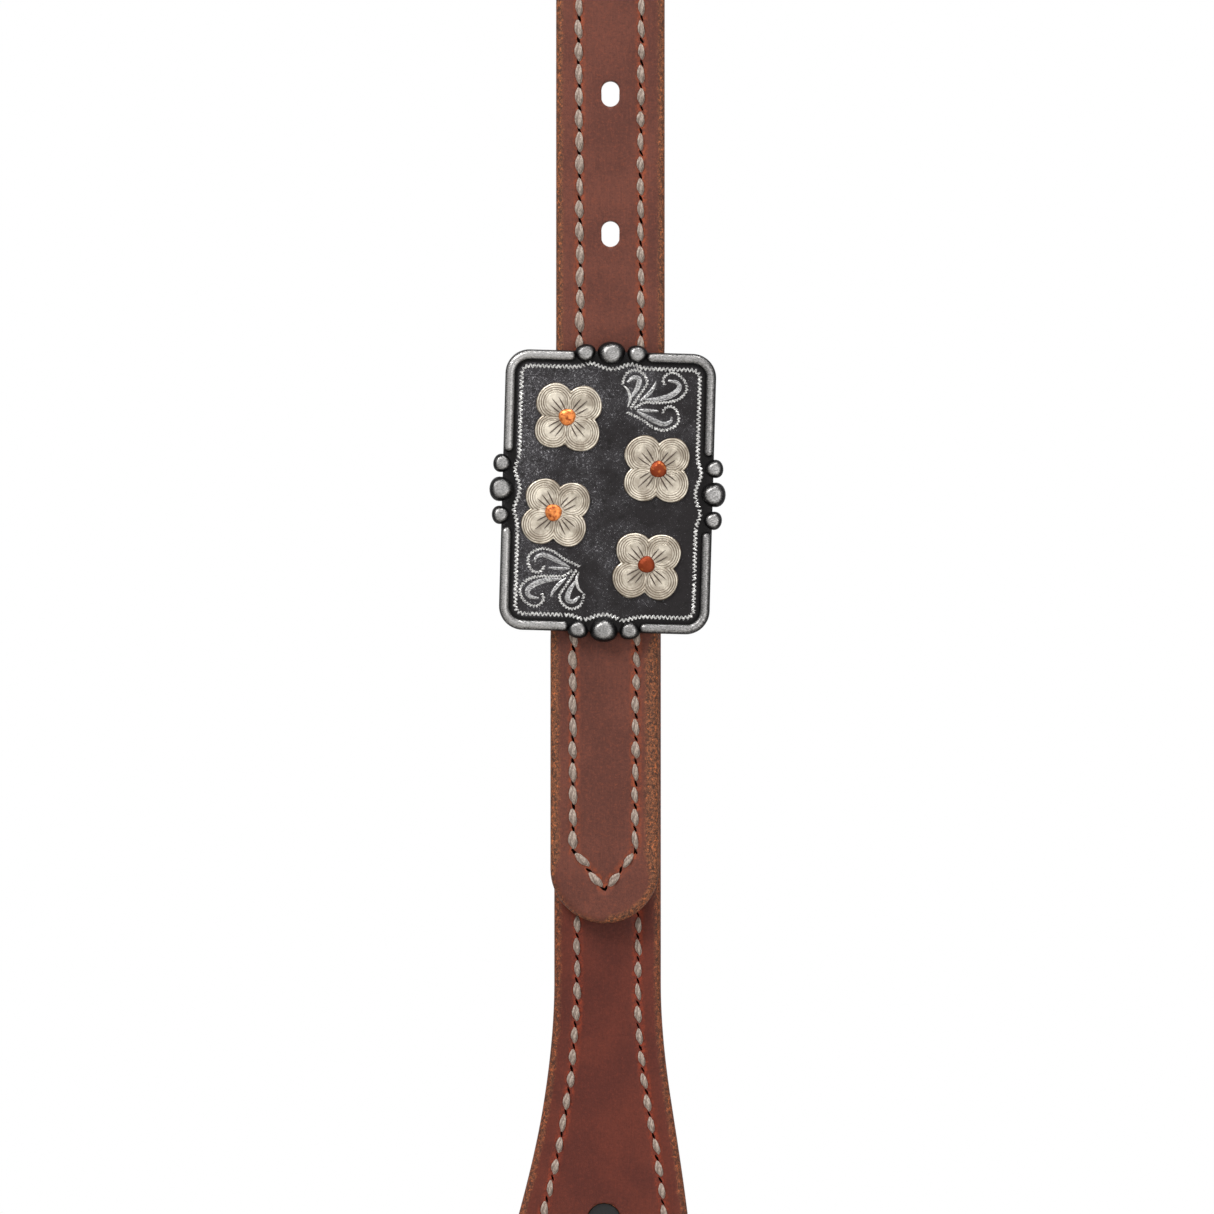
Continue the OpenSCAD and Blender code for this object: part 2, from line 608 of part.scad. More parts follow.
left_cast() buckle_plate();  // left_buckle_plate
left_cast() buckle_flowers();  // left_buckle_flowers
left_cast() flower_rivets();  // left_flower_rivets
on_left() buckle_frame();  // left_buckle_frame
on_left() buckle_bar();  // left_buckle_bar
on_left() buckle_tongue();  // left_buckle_tongue
on_left() collar_outer();  // left_collar_outer
on_left() collar_lining();  // left_collar_lining
on_left() collar_thread();  // left_collar_thread
on_left() ring_rivets();  // left_ring_rivets
on_left() dee_tab();  // left_dee_tab
on_left() dee();  // left_dee
on_left() dee_rivet();  // left_dee_rivet
placed() centre_ring();
placed() girth_strap_upper();
placed() { girth_strap_billet(); girth_billet_fold(); }
placed() girth_thread();
placed() girth_rivets();
placed() girth_buckle_frame();
placed() girth_buckle_tongue();
placed() girth_keeper();
placed() snap_on_girth() snap_body();  // girth_snap_body
placed() snap_on_girth() snap_bolt();  // girth_snap_bolt
placed() snap_on_girth() snap_spring();  // girth_snap_spring
placed() snap_on_girth() snap_eye();  // girth_snap_eye
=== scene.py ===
"""Looks of a western breast collar: hand-stitched leather, engraved silver buckles and cast snaps."""

import json
import math

import bpy
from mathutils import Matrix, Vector
import numpy as np


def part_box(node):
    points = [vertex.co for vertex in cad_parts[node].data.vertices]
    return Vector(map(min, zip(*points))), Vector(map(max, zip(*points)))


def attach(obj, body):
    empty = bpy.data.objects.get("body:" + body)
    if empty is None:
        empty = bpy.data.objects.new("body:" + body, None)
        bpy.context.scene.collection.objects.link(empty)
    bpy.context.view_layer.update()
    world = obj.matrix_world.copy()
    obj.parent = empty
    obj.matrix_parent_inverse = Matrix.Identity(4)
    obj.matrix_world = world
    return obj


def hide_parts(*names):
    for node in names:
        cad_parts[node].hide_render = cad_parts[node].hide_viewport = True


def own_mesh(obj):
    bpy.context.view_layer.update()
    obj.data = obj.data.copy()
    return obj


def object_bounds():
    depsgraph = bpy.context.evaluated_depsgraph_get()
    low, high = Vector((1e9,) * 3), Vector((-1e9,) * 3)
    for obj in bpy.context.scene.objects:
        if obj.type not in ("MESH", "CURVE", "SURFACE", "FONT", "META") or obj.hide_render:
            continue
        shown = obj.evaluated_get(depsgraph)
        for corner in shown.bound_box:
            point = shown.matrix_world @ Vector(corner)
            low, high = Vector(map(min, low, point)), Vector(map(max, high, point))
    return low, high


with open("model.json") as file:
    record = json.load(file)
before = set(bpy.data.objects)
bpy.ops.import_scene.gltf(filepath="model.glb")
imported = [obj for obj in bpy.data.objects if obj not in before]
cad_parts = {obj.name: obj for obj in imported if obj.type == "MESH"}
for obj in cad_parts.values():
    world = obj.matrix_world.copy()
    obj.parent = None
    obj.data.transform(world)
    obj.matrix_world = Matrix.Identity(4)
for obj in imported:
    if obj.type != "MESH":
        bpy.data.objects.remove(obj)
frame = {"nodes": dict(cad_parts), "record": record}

CAD_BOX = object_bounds()
RNG = np.random.default_rng(7)

# ---------------------------------------------------------------- sizes, in millimetres, as in the CAD design
TUG_HALF, TUG_PLY, TUG_TOP, TUG_TIP, TUG_TAIL = 9.5, 2.2, 150.0, -75.4, 36.0
TUG_LEAN, LEAN_FROM, LINING_SHORT, SEAM_SHORT = 0.5, 26.0, 9.0, 12.0
COLLAR_PLY, COLLAR_FRONT, BAR_Z, BAR_FOLD = 2.5, 2.8, -19.05, 4.35
NECK, BODY, LOOP_HALF = 18.7, 38.0, 11.0
SWEEP_R, SWEEP_FROM, ARC_FROM, LEAD = 300.0, 22.0, 108.0, 30.0
RING_R, RING_WIRE = 28.0, 2.5
FLARE_FROM, FLARE_LEN, TAPER_LEN = 86.0, 75.0, 80.0
RIVET_Z, RIVET_HOLE = -127.6, 3.0
HOLE_W, HOLE_H, HOLE_PITCH, PINNED_HOLE = 3.15, 4.6, 24.5, -3.85
SEAM_IN, PITCH = 4.1, 3.9
EYE_FOLD, DEE_FOLD, TONGUE_SLOT = 2.1, 1.6, 2.1
VEE_TOP, VEE_POINT = -62.8, -69.3
TAIL_GAP = 0.1
RING_SAG = RING_R - math.sqrt(RING_R**2 - LOOP_HALF**2)
LOOP_IN = RING_SAG / 2 + RING_WIRE + 0.35
LOOP_AT = RING_R - RING_SAG / 2
TURN = 90 - SWEEP_FROM
ARC_LEN = SWEEP_R * math.radians(TURN)
LINE_END = ARC_FROM + ARC_LEN + LEAD + RING_R - LOOP_AT
PLATE_W, PLATE_H, PLATE_CORNER, PLATE_T = 36.8, 49.0, 4.2, 1.8
GIRTH_PLY, GIRTH_HALF, GIRTH_LEN, GIRTH_TAIL = 2.6, 12.5, 105.0, 36.0
GIRTH_FRONT = 2.7
HEEL_Z = -LOOP_AT - GIRTH_LEN
FAR_Z = HEEL_Z - 28
BILLET_LOW, BILLET_HIGH = GIRTH_FRONT + 4.7 + 2.2, GIRTH_FRONT - 0.4 - GIRTH_PLY
EYE_Z, BILLET_TIP = FAR_Z - 115, HEEL_Z + 62
KEEPER_Z, KEEPER_H, KEEPER_T = HEEL_Z + 42, 11.0, 1.6
DEE_PLY, DEE_OUT, DEE_HALF_TAB, DEE_TURN = 1.6, 28.0, 6.0, math.radians(207)
SPRING_R, SPRING_WIRE, SPRING_COILS, BOLT_TRAVEL = 1.9, 0.4, 4, 8.0
PLATE_BACK = -TUG_PLY - 0.5
PLATE_FRONT = PLATE_BACK - PLATE_T


def middle(node):
    low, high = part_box(node)
    return np.array((low + high) / 2) * 1000


FRONT_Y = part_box("right_tug_lining")[0].y * 1000          # the plane between a tug's plies
THROUGH_TUG = FRONT_Y - 6, FRONT_Y + 3.4                  # depths in front of and behind what a hole pierces
THROUGH_COLLAR = FRONT_Y - 5, FRONT_Y + 25
THROUGH_GIRTH = FRONT_Y - 10, FRONT_Y + 30
RING = middle("centre_ring")
PLACE = {"right": middle("right_buckle_plate"), "left": middle("left_buckle_plate"), "girth": RING}
X_AXIS, OUTWARD = np.array([1.0, 0, 0]), np.array([0, -1.0, 0])
TIP_ANGLES = np.radians(np.concatenate([[2.0, 5.0], np.arange(9, 90, 5)]))
SLOTS = {p["node"]: p["material_slot"] for p in frame["record"]["subparts"]}


def smooth(t):
    t = np.clip(t, 0, 1)
    return t * t * (3 - 2 * t)


# ---------------------------------------------------------------- materials
def linear(rgb):
    """sRGB 0..255 to a linear colour with alpha."""
    v = np.array(rgb, float) / 255
    v = np.where(v <= 0.04045, v / 12.92, ((v + 0.055) / 1.055) ** 2.4)
    return (*v.tolist(), 1.0)


def tint(rgb, *gains):
    """A colour made lighter or darker by one gain, or by one for each channel."""
    return np.array(rgb, float) * gains


class Surface:
    """A node material with short names for the nodes that it uses."""

    def __init__(self, name, **values):
        self.mat = bpy.data.materials.new(name)
        self.mat.use_nodes = True
        self.nodes, self.links = self.mat.node_tree.nodes, self.mat.node_tree.links
        self.shader = self.nodes["Principled BSDF"]
        for socket, value in values.items():
            self.shader.inputs[socket.replace("_", " ")].default_value = value
        self.object = self.nodes.new("ShaderNodeTexCoord").outputs["Object"]

    def put(self, socket, value):
        if hasattr(value, "links"):
            self.links.new(value, socket)
        else:
            socket.default_value = value

    def node(self, kind, out, inputs, **settings):
        n = self.nodes.new(kind)
        for key, value in settings.items():
            setattr(n, key, value)
        for key, value in inputs.items():
            self.put(n.inputs[key], value)
        return n.outputs[out]

    def place(self, stretch=(1, 1, 1)):
        """Coordinates in millimetres, stretched."""
        return self.node("ShaderNodeMapping", 0, {0: self.object, 3: tuple(1000 * s for s in stretch)})

    def noise(self, scale, detail=3, stretch=(1, 1, 1), rough=0.55):
        return self.node("ShaderNodeTexNoise", 0, {"Vector": self.place(stretch), "Scale": scale,
                                                  "Detail": detail, "Roughness": rough})

    def attribute(self, name):
        return self.node("ShaderNodeAttribute", "Fac", {}, attribute_name=name)

    def math(self, kind, a, b=0.0):
        return self.node("ShaderNodeMath", 0, {0: a, 1: b}, operation=kind)

    def span(self, value, low, high, to_low=0.0, to_high=1.0):
        return self.node("ShaderNodeMapRange", 0, {0: value, 1: low, 2: high, 3: to_low, 4: to_high},
                         interpolation_type="SMOOTHSTEP")

    def mix(self, amount, a, b):
        """A mix of two colours, each a socket or an sRGB colour."""
        a, b = (c if hasattr(c, "links") else linear(c) for c in (a, b))
        return self.node("ShaderNodeMix", 2, {0: amount, 6: a, 7: b}, data_type="RGBA")

    def bump(self, height, distance, strength=1.0, normal=None):
        inputs = {"Height": height, "Distance": distance / 1000, "Strength": strength}
        if normal is not None:
            inputs["Normal"] = normal
        return self.node("ShaderNodeBump", 0, inputs)

    def finish(self, colour, rough, normal, metallic=0.0):
        for name, value in (("Base Color", colour), ("Roughness", rough), ("Normal", normal),
                            ("Metallic", metallic)):
            self.put(self.shader.inputs[name], value)
        return self.mat


def leather(name, deep, body, warm, edge, speckle=1.0):
    """Oiled leather: fine mottled grain, rubbed warm along the stitches, raw and fibrous at the cut edge."""
    s = Surface(name, Specular_IOR_Level=0.24)
    patches = s.noise(0.09, 4)
    fine = s.noise(2.0, 6, (1, 1, 1.3), 0.8)
    hatch = s.noise(1.5, 5, (2.6, 1, 0.3), 0.7)
    colour = s.mix(s.span(patches, 0.38, 0.62, 0.15, 0.85), deep, body)
    colour = s.mix(s.span(fine, 0.52, 0.64, 0, 0.5 * speckle), colour, warm)
    colour = s.mix(s.span(fine, 0.48, 0.36, 0, 0.55 * speckle), colour, tint(deep, 0.78))
    colour = s.mix(s.span(hatch, 0.53, 0.68, 0, 0.35), colour, tint(body, 1.14))
    colour = s.mix(s.span(hatch, 0.47, 0.34, 0, 0.3), colour, tint(deep, 0.88))
    near = s.span(s.attribute("row"), 1.6, 2.6)
    rub = s.math("MULTIPLY", near, s.span(s.noise(1.8, 5, (1, 1, 0.8), 0.8), 0.46, 0.58, 0.1, 0.85))
    colour = s.mix(rub, colour, tint(warm, 1.2, 1.15, 1))
    ragged = s.math("ADD", s.attribute("edge"), s.math("MULTIPLY", s.noise(1.1, 5, (1, 1, 0.7), 0.8), 1.8))
    raw = s.span(ragged, 1.5, 2.5, 0.9, 0)
    fibre = s.mix(s.span(s.noise(1.9, 6, (1, 1, 0.8), 0.9), 0.47, 0.57), tint(edge, 0.45), edge)
    pale = s.span(s.noise(2.1, 5, (1, 1, 0.9), 0.9), 0.54, 0.62, 0, 0.85)
    fibre = s.mix(pale, fibre, tint(edge, 1.6, 1.45, 1.2))
    colour = s.mix(raw, colour, fibre)
    bump = s.bump(fine, 0.14, 0.5 * speckle)
    bump = s.bump(hatch, 0.08, 0.5, bump)
    return s.finish(colour, s.span(fine, 0.35, 0.7, 0.64, 0.5), bump)


def suede(name, deep, body):
    """The flesh side of leather, brushed and matt."""
    s = Surface(name, Specular_IOR_Level=0.2, Sheen_Weight=0.15)
    nap = s.noise(4, 6, (1, 1, 0.6))
    colour = s.mix(s.span(nap, 0.35, 0.65), deep, body)
    raw = s.span(s.attribute("edge"), 0.4, 1.6, 0.5, 0)
    colour = s.mix(raw, colour, tint(body, 0.75))
    return s.finish(colour, 0.85, s.bump(nap, 0.2, 0.6))


def thread():
    s = Surface("waxed_thread", Specular_IOR_Level=0.3, Sheen_Weight=0.1)
    fibre = s.noise(4.5, 5, (1.4, 1, 0.4), 0.7)
    colour = s.mix(s.span(fibre, 0.38, 0.62), (104, 90, 80), (158, 143, 131))
    # Painted shade: the thread is darkened in the grooves between its plies, where the ply attribute is low.
    colour = s.mix(s.span(s.attribute("ply"), 0.0, 0.5, 0.35, 1), (84, 68, 58), colour)
    return s.finish(colour, 0.66, s.bump(fibre, 0.12, 0.7))


def metal(name, dark, bright, rough, wear, metallic, speck):
    """Antiqued metal: bright where its attribute is high, from wear and on the rim and beads a painted
    highlight, dark elsewhere, finely scratched.
    """
    s = Surface(name)
    scratch = s.noise(3.2, 6, (1, 1, 2.4), 0.7)
    worn = s.math("ADD", s.attribute("worn"), s.span(scratch, 0.3, 0.7, -speck, speck))
    colour = s.mix(s.span(worn, *wear), dark, bright)
    bump = s.bump(scratch, 0.06, 0.5)
    bump = s.bump(s.noise(0.9, 3), 0.12, 0.4, bump)
    return s.finish(colour, s.span(scratch, 0.35, 0.65, rough + 0.14, rough - 0.06), bump, metallic)


def plate_ground():
    """Blackened ground of the engraved plate, with a frost of bright scratches and a painted reflection."""
    s = Surface("blackened_silver")
    frost = s.noise(2.6, 8, (1, 1, 1), 0.95)
    # Random tone plus the painted reflection held in the attribute that also thickens the frost.
    tone_and_reflection = s.math("ADD", s.noise(0.16, 4), s.attribute("frosted"))
    colour = s.mix(s.span(tone_and_reflection, 0.5, 0.95), (30, 27, 28), (50, 48, 50))
    flecks = s.math("ADD", frost, s.span(tone_and_reflection, 0.35, 0.95, -0.02, 0.06))
    colour = s.mix(s.span(flecks, 0.6, 0.68, 0, 0.95), colour, (186, 184, 188))
    colour = s.mix(s.span(s.noise(0.9, 6), 0.53, 0.66, 0, 0.65), colour, (22, 20, 20))
    colour = s.mix(s.attribute("groove"), colour, (12, 10, 10))
    bump = s.bump(frost, 0.08, 0.5)
    bump = s.bump(s.noise(0.5, 2), 0.3, 0.4, bump)
    return s.finish(colour, s.span(frost, 0.4, 0.7, 0.55, 0.36), bump, 0.75)


def petal_silver():
    """White metal cut with fine lines that follow the edge of each petal."""
    s = Surface("german_silver")
    spacing = 0.4
    turn = s.math("MULTIPLY", s.attribute("contour"), 2 * math.pi / spacing)
    wobble = s.math("ADD", turn, s.math("MULTIPLY", s.noise(0.35, 1), 3.0))
    line = s.math("MULTIPLY", s.span(s.math("SINE", wobble), 0.1, 0.95), s.attribute("cut"))
    colour = s.mix(s.span(s.noise(0.5, 5), 0.35, 0.7), (150, 140, 126), (208, 199, 183))
    colour = s.mix(s.math("MULTIPLY", line, 0.95), colour, (88, 72, 54))
    colour = s.mix(s.span(s.noise(2.2, 6), 0.55, 0.72, 0, 0.5), colour, (112, 102, 84))
    bump = s.bump(s.math("MULTIPLY", line, -1.0), 0.12, 0.8)
    return s.finish(colour, 0.38, s.bump(s.noise(6, 4), 0.04, 0.5, bump), 0.55)


def copper():
    s = Surface("copper")
    smudge = s.span(s.math("ADD", s.noise(1.3, 5), s.attribute("tone")), 0.43, 0.73)
    colour = s.mix(smudge, (224, 136, 72), (118, 46, 16))
    return s.finish(colour, s.span(smudge, 0, 1, 0.34, 0.5), s.bump(s.noise(2.4, 5), 0.09, 0.8), 0.75)


def plain(name, rgb, rough, metallic=0.0, grain=0.3, **values):
    s = Surface(name, **values)
    n = s.noise(3, 4)
    colour = s.mix(s.span(n, 0.3, 0.7), tint(rgb, 1 - grain), rgb)
    return s.finish(colour, rough, s.bump(n, 0.05, 0.5), metallic)


LEATHER_TUG = leather("tug_leather", (74, 36, 26), (90, 47, 35), (112, 53, 31), (122, 74, 47))
LEATHER_COLLAR = leather("collar_leather", (68, 22, 11), (83, 31, 17), (103, 39, 19), (116, 66, 41), 0.7)
LEATHER_BACK = suede("lining_leather", (112, 76, 56), (146, 104, 78))
THREAD = thread()
# Painted shadow: near-black lenses stand for the shade inside each awl hole; the leather has no hole there.
AWL_SHADOW = plain("awl_shadow", (8, 4, 3), 1.0, Specular_IOR_Level=0)
SILVER_RIM = metal("antique_rim", (24, 23, 24), (182, 180, 178), 0.34, (0.08, 0.72), 0.82, 0.16)
GROUND = plate_ground()
CUT = metal("bright_cut", (120, 118, 117), (226, 225, 222), 0.3, (0.25, 0.75), 0.7, 0.5)
SHADE_CUT = metal("shaded_cut", (78, 77, 78), (176, 175, 174), 0.38, (0.2, 0.8), 0.75, 0.5)
PETAL = petal_silver()
RAY = plain("filled_cut", (66, 48, 34), 0.6)
COPPER = copper()
HARDWARE = metal("antique_steel", (52, 51, 50), (176, 174, 171), 0.34, (-0.4, 0.5), 0.9, 0.4)
BLACK = plain("blackened_rivet", (13, 12, 12), 0.5, 0.3)
SPRING = plain("spring_wire", (170, 170, 172), 0.25, 1.0, 0.1)


# ---------------------------------------------------------------- meshes
def volume(points, faces):
    """Signed volume inside the faces, by fans of triangles."""
    total, centre = 0.0, points.mean(0)
    for size in {len(f) for f in faces}:
        corners = points[np.array([f for f in faces if len(f) == size], int)] - centre
        for k in range(1, size - 1):
            total += np.einsum("ij,ij->", corners[:, 0], np.cross(corners[:, k], corners[:, k + 1]))
    return total


def solid(name, points, faces):
    """A mesh object from points in millimetres, with its faces turned outwards."""
    points = np.asarray(points, float)
    if volume(points, faces) < 0:
        faces = [f[::-1] for f in faces]
    mesh = bpy.data.meshes.new(name)
    mesh.from_pydata((points / 1000).tolist(), [], [list(map(int, f)) for f in faces])
    o = bpy.data.objects.new(name, mesh)
    bpy.context.scene.collection.objects.link(o)
    return o


def piece(name, points, faces, material, body, replaces=(), slot=None, smooth_faces=True, **attributes):
    """A visible piece in the row frame, with one value per point in each attribute."""
    o = solid(name, points, faces)
    for key, values in attributes.items():
        o.data.attributes.new(key, "FLOAT", "POINT").data.foreach_set("value", np.asarray(values, np.float32))
    o.data.polygons.foreach_set("use_smooth", [smooth_faces] * len(o.data.polygons))
    o.data.materials.append(material)
    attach(o, body)
    if replaces:
        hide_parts(*replaces)
    return o


def to_row(side, points):
    """Points measured from the middle of a buckle or of the centre ring, to the row frame.

    The left side is the right side mirrored.
    """
    p = np.array(points, float)
    sign = -1 if side == "left" else 1
    return np.stack([PLACE[side][0] + sign * p[..., 0], FRONT_Y + p[..., 1], PLACE[side][2] + p[..., 2]], -1)


def at_depth(path, y):
    """A path in X and Z, put at one depth."""
    return np.stack([path[:, 0], np.full(len(path), y), path[:, 1]], -1)


def turned(angle, x, z):
    """A turn in the plane of X and Z."""
    c, s = math.cos(angle), math.sin(angle)
    return c * x - s * z, s * x + c * z


def loops(rings, endless=False):
    """Faces joining equal rings of points, with the two ends filled, or joined to each other."""
    n, count = len(rings[0]), len(rings)
    faces = []
    for i in range(count if endless else count - 1):
        a, b = i * n, (i + 1) % count * n
        faces += [(a + j, a + (j + 1) % n, b + (j + 1) % n, b + j) for j in range(n)]
    if not endless:
        faces += [tuple(range(n - 1, -1, -1)), tuple(range((count - 1) * n, count * n))]
    return np.concatenate(rings), faces


def joined(parts):
    points, faces, start = [], [], 0
    for p, f in parts:
        points.append(np.asarray(p, float))
        faces += [tuple(i + start for i in face) for face in f]
        start += len(p)
    return np.concatenate(points), faces


def length_along(path):
    """The length from a path's start to each of its points."""
    return np.concatenate([[0], np.cumsum(np.linalg.norm(np.diff(path, axis=0), axis=1))])


def follow(where, run, values):
    """Rows of values, read at some length along a path."""
    return np.stack([np.interp(where, run, values[:, c]) for c in range(values.shape[1])], -1)


# A strap is drawn along a line: a list of rows, each a point on the middle of its front surface, the normal
# there, the direction across, the length so far and half the width.
def fold_profile(outer, ply, slope, rest, tail):
    """Outer surface of a fold: distance beyond the strap's end, depth, and the normal in those two."""
    rows = []
    for k in range(1, 25):
        a = math.pi * k / 24
        rows.append((outer * math.sin(a), outer * (1 - math.cos(a)), math.sin(a), -math.cos(a)))
    lean = math.atan2(2 * outer - rest - ply, slope)
    for k in range(1, 9):
        t = k / 8
        depth = 2 * outer + (rest + ply - 2 * outer) * smooth(t)
        rows.append((-slope * t, depth, math.sin(lean * 4 * t * (1 - t)), math.cos(lean * 4 * t * (1 - t))))
    run = tail - slope
    for k in np.linspace(0, 1, 20)[1:]:
        rows.append((-slope - run * k, rest + ply, 0.0, 1.0))
    for k in (0.93, 0.96, 0.98, 0.99, 1.0):
        rows.append((-slope - run * (0.95 + 0.05 * k), rest + ply, 0.0, 1.0))
    return rows


def add_fold(line, profile, end, direction, front, side, s0, half, forward):
    """Adds a fold's rows after the strap's end, or before its start."""
    rows, s, last = [], s0, (0.0, 0.0)
    for a, depth, na, nd in profile:
        s += (1 if forward else -1) * math.hypot(a - last[0], depth - last[1])
        last = (a, depth)
        at = np.array([end[0] + direction[0] * a, front + depth, end[1] + direction[1] * a])
        rows.append((at, np.array([direction[0] * na, nd, direction[1] * na]), side, s, half))
    line.extend(rows if forward else rows[::-1])


EDGE_ANGLES = np.radians([0, 20, 40, 60, 78])
CHANNEL_DEPTH, CHANNEL_WIDTH = 0.3, 0.75
ROW_REACH, EDGE_REACH = 3, 8         # how far the row and edge attributes reach
FAR_OFF = 9.0                        # a distance from stitches that counts as having none near


def section(half, round_front, round_back, insets, count):
    """Across a strap: offsets from its middle line, from one edge over the front to the other and back."""
    front = [round_front * (1 - math.cos(a)) for a in EDGE_ANGLES] + list(insets)
    front = [min(d, half) for d in front]
    inner = max(half - front[-1], 0)
    middle_part = list(np.linspace(inner, -inner, count + 2)[1:-1])
    offsets = [half - d for d in front] + middle_part + [-(half - d) for d in reversed(front)]
    back = [min(round_back * (1 - math.cos(a)), half) for a in np.radians([0, 30, 60, 90])]
    inner = max(half - back[-1], 0)
    middle_part = list(np.linspace(-inner, inner, count // 2 + 2)[1:-1])
    offsets_back = [-(half - d) for d in back] + middle_part + [half - d for d in reversed(back)]
    return offsets, offsets_back


def rounding(distance, r):
    d = np.clip(distance, 0, r)
    return r - np.sqrt(np.maximum(r * r - (r - d) ** 2, 0))


def strap(name, side, line, ply, material, body, replaces, slot, rows=None, round_front=1.2, round_back=0.35,
          tip=None, cut_start=True, insets=(1.7, 2.6, 3.4, 4.1, 4.8, 5.6, 6.8), count=12, frayed=None):
    """One ply of leather: its line swept with rounded edges, and a shallow channel under its stitches."""
    at, normal, across, s, half = (np.array(values, float) for values in zip(*line))
    front, back = zip(*(section(h, round_front, round_back, insets, count) for h in half))
    front, back = np.array(front), np.array(back)

    def distance(u):
        d = np.minimum(half[:, None] - np.abs(u), (s[-1] - s)[:, None])
        if cut_start:
            d = np.minimum(d, (s - s[0])[:, None])
        if tip is not None:
            centre, radius = tip
            beyond = (centre - s)[:, None]
            d = np.where(beyond > 0, radius - np.hypot(u, beyond), d)
        return np.maximum(d, 0)

    df, db = distance(front), distance(back)
    near = np.zeros_like(front)
    if rows is not None:
        near = np.clip(ROW_REACH - rows(front, s[:, None] + 0 * front, half[:, None]), 0, ROW_REACH)
    channel = CHANNEL_DEPTH * np.exp(-(((ROW_REACH - near) / CHANNEL_WIDTH) ** 2))
    depth_f = rounding(df, round_front) + channel
    depth_b = ply - rounding(db, round_back)
    points_f = at[:, None] + across[:, None] * front[..., None] - normal[:, None] * depth_f[..., None]
    points_b = at[:, None] + across[:, None] * back[..., None] - normal[:, None] * depth_b[..., None]
    points, faces = loops(np.concatenate([points_f, points_b], 1))
    edge = np.concatenate([df, db], 1)
    if tip is not None:
        edge = edge + 1.1 * smooth((tip[0] + 3 - s) / 6)[:, None]
    if frayed is not None:
        edge = edge - frayed(np.concatenate([front, back], 1), s[:, None])
    row = np.concatenate([near, np.zeros_like(back)], 1)
    return piece(name, to_row(side, points), faces, material, body, replaces, slot,
                 edge=np.minimum(edge, EDGE_REACH).reshape(-1), row=row.reshape(-1))


def cut_holes(o, cutters):
    """Cuts straight holes in a piece: each is a closed outline in X and Z, and the depths that it joins."""
    prisms = [loops([at_depth(np.array(shape), y) for y in depths]) for shape, depths in cutters]
    cutter = solid("cutter", *joined(prisms))
    change = o.modifiers.new("holes", "BOOLEAN")
    change.operation, change.object, change.solver = "DIFFERENCE", cutter, "EXACT"
    bpy.context.view_layer.update()
    evaluated = o.evaluated_get(bpy.context.evaluated_depsgraph_get())
    made = bpy.data.meshes.new_from_object(evaluated)
    o.modifiers.clear()
    o.data = made
    made.name = o.name
    bpy.data.objects.remove(cutter)


def ring_points(cx, cz, w, h, n=28):
    """A round hole, or an oval with straight sides."""
    a = np.linspace(0, 2 * math.pi, n, endpoint=False)
    lift = np.where(np.sin(a) >= 0, 1, -1) * (h - w) / 2
    return [(cx + w / 2 * math.cos(t), cz + w / 2 * math.sin(t) + l) for t, l in zip(a, lift)]


def slot_points(x, low, high):
    """The slot that a buckle's tongue stands in."""
    return [(x - TONGUE_SLOT, low), (x + TONGUE_SLOT, low), (x + TONGUE_SLOT, high), (x - TONGUE_SLOT, high)]


# ---------------------------------------------------------------- stitching
def stitch_template():
    """One stitch of three-ply thread along X, its ends going down into the leather, and its ply attribute for
    painted shade.
    """
    along, around, length, fat = 17, 15, 3.5, 0.67
    rings, ply = [], []
    for t in np.linspace(0, 1, along):
        body = math.sin(math.pi * (0.03 + 0.94 * t)) ** 0.85
        lift = 0.5 * math.sin(math.pi * t) ** 0.6 - 0.32
        a = np.linspace(0, 2 * math.pi, around, endpoint=False)
        lobe = np.cos(3 * a - 2 * math.pi * 1.1 * t)
        r = fat * body * (1 + 0.13 * lobe)
        x = np.full(around, (t - 0.5) * length)
        rings.append(np.stack([x, r * np.cos(a), lift + 0.62 * r * np.sin(a)], -1))
        # Low in the grooves between plies, where the thread material paints shade.
        ply.append(0.5 + 0.5 * lobe)
    return loops(rings), np.concatenate(ply)


def lens_template(length, width, height):
    """A flat closed lens, pointed at both ends."""
    points = [(-length / 2, 0, 0), (length / 2, 0, 0), (0, 0, height), (0, 0, -height)]
    for x in (-0.3, 0, 0.3):
        w = width / 2 * (1 - (2 * x) ** 2 * 0.75)
        points += [(x * length, w, 0), (x * length, -w, 0)]
    up = [(0, 5, 2), (5, 7, 2), (7, 9, 2), (9, 1, 2), (1, 8, 2), (8, 6, 2), (6, 4, 2), (4, 0, 2)]
    return np.array(points), up + [(b, a, 3) for a, b, _ in up]


STITCH, STITCH_PLY_SHADE = stitch_template()
SLIT_SHADOW = lens_template(1.45, 0.44, 0.12)


def scatter(template, frames):
    """Copies of a template: each frame is where, along, across, up, and a scale."""
    points, faces = template
    copies = []
    for at, x, y, z, scale in frames:
        p = points * scale
        copies.append((at + p[:, :1] * x + p[:, 1:2] * y + p[:, 2:] * z, faces))
    return joined(copies)


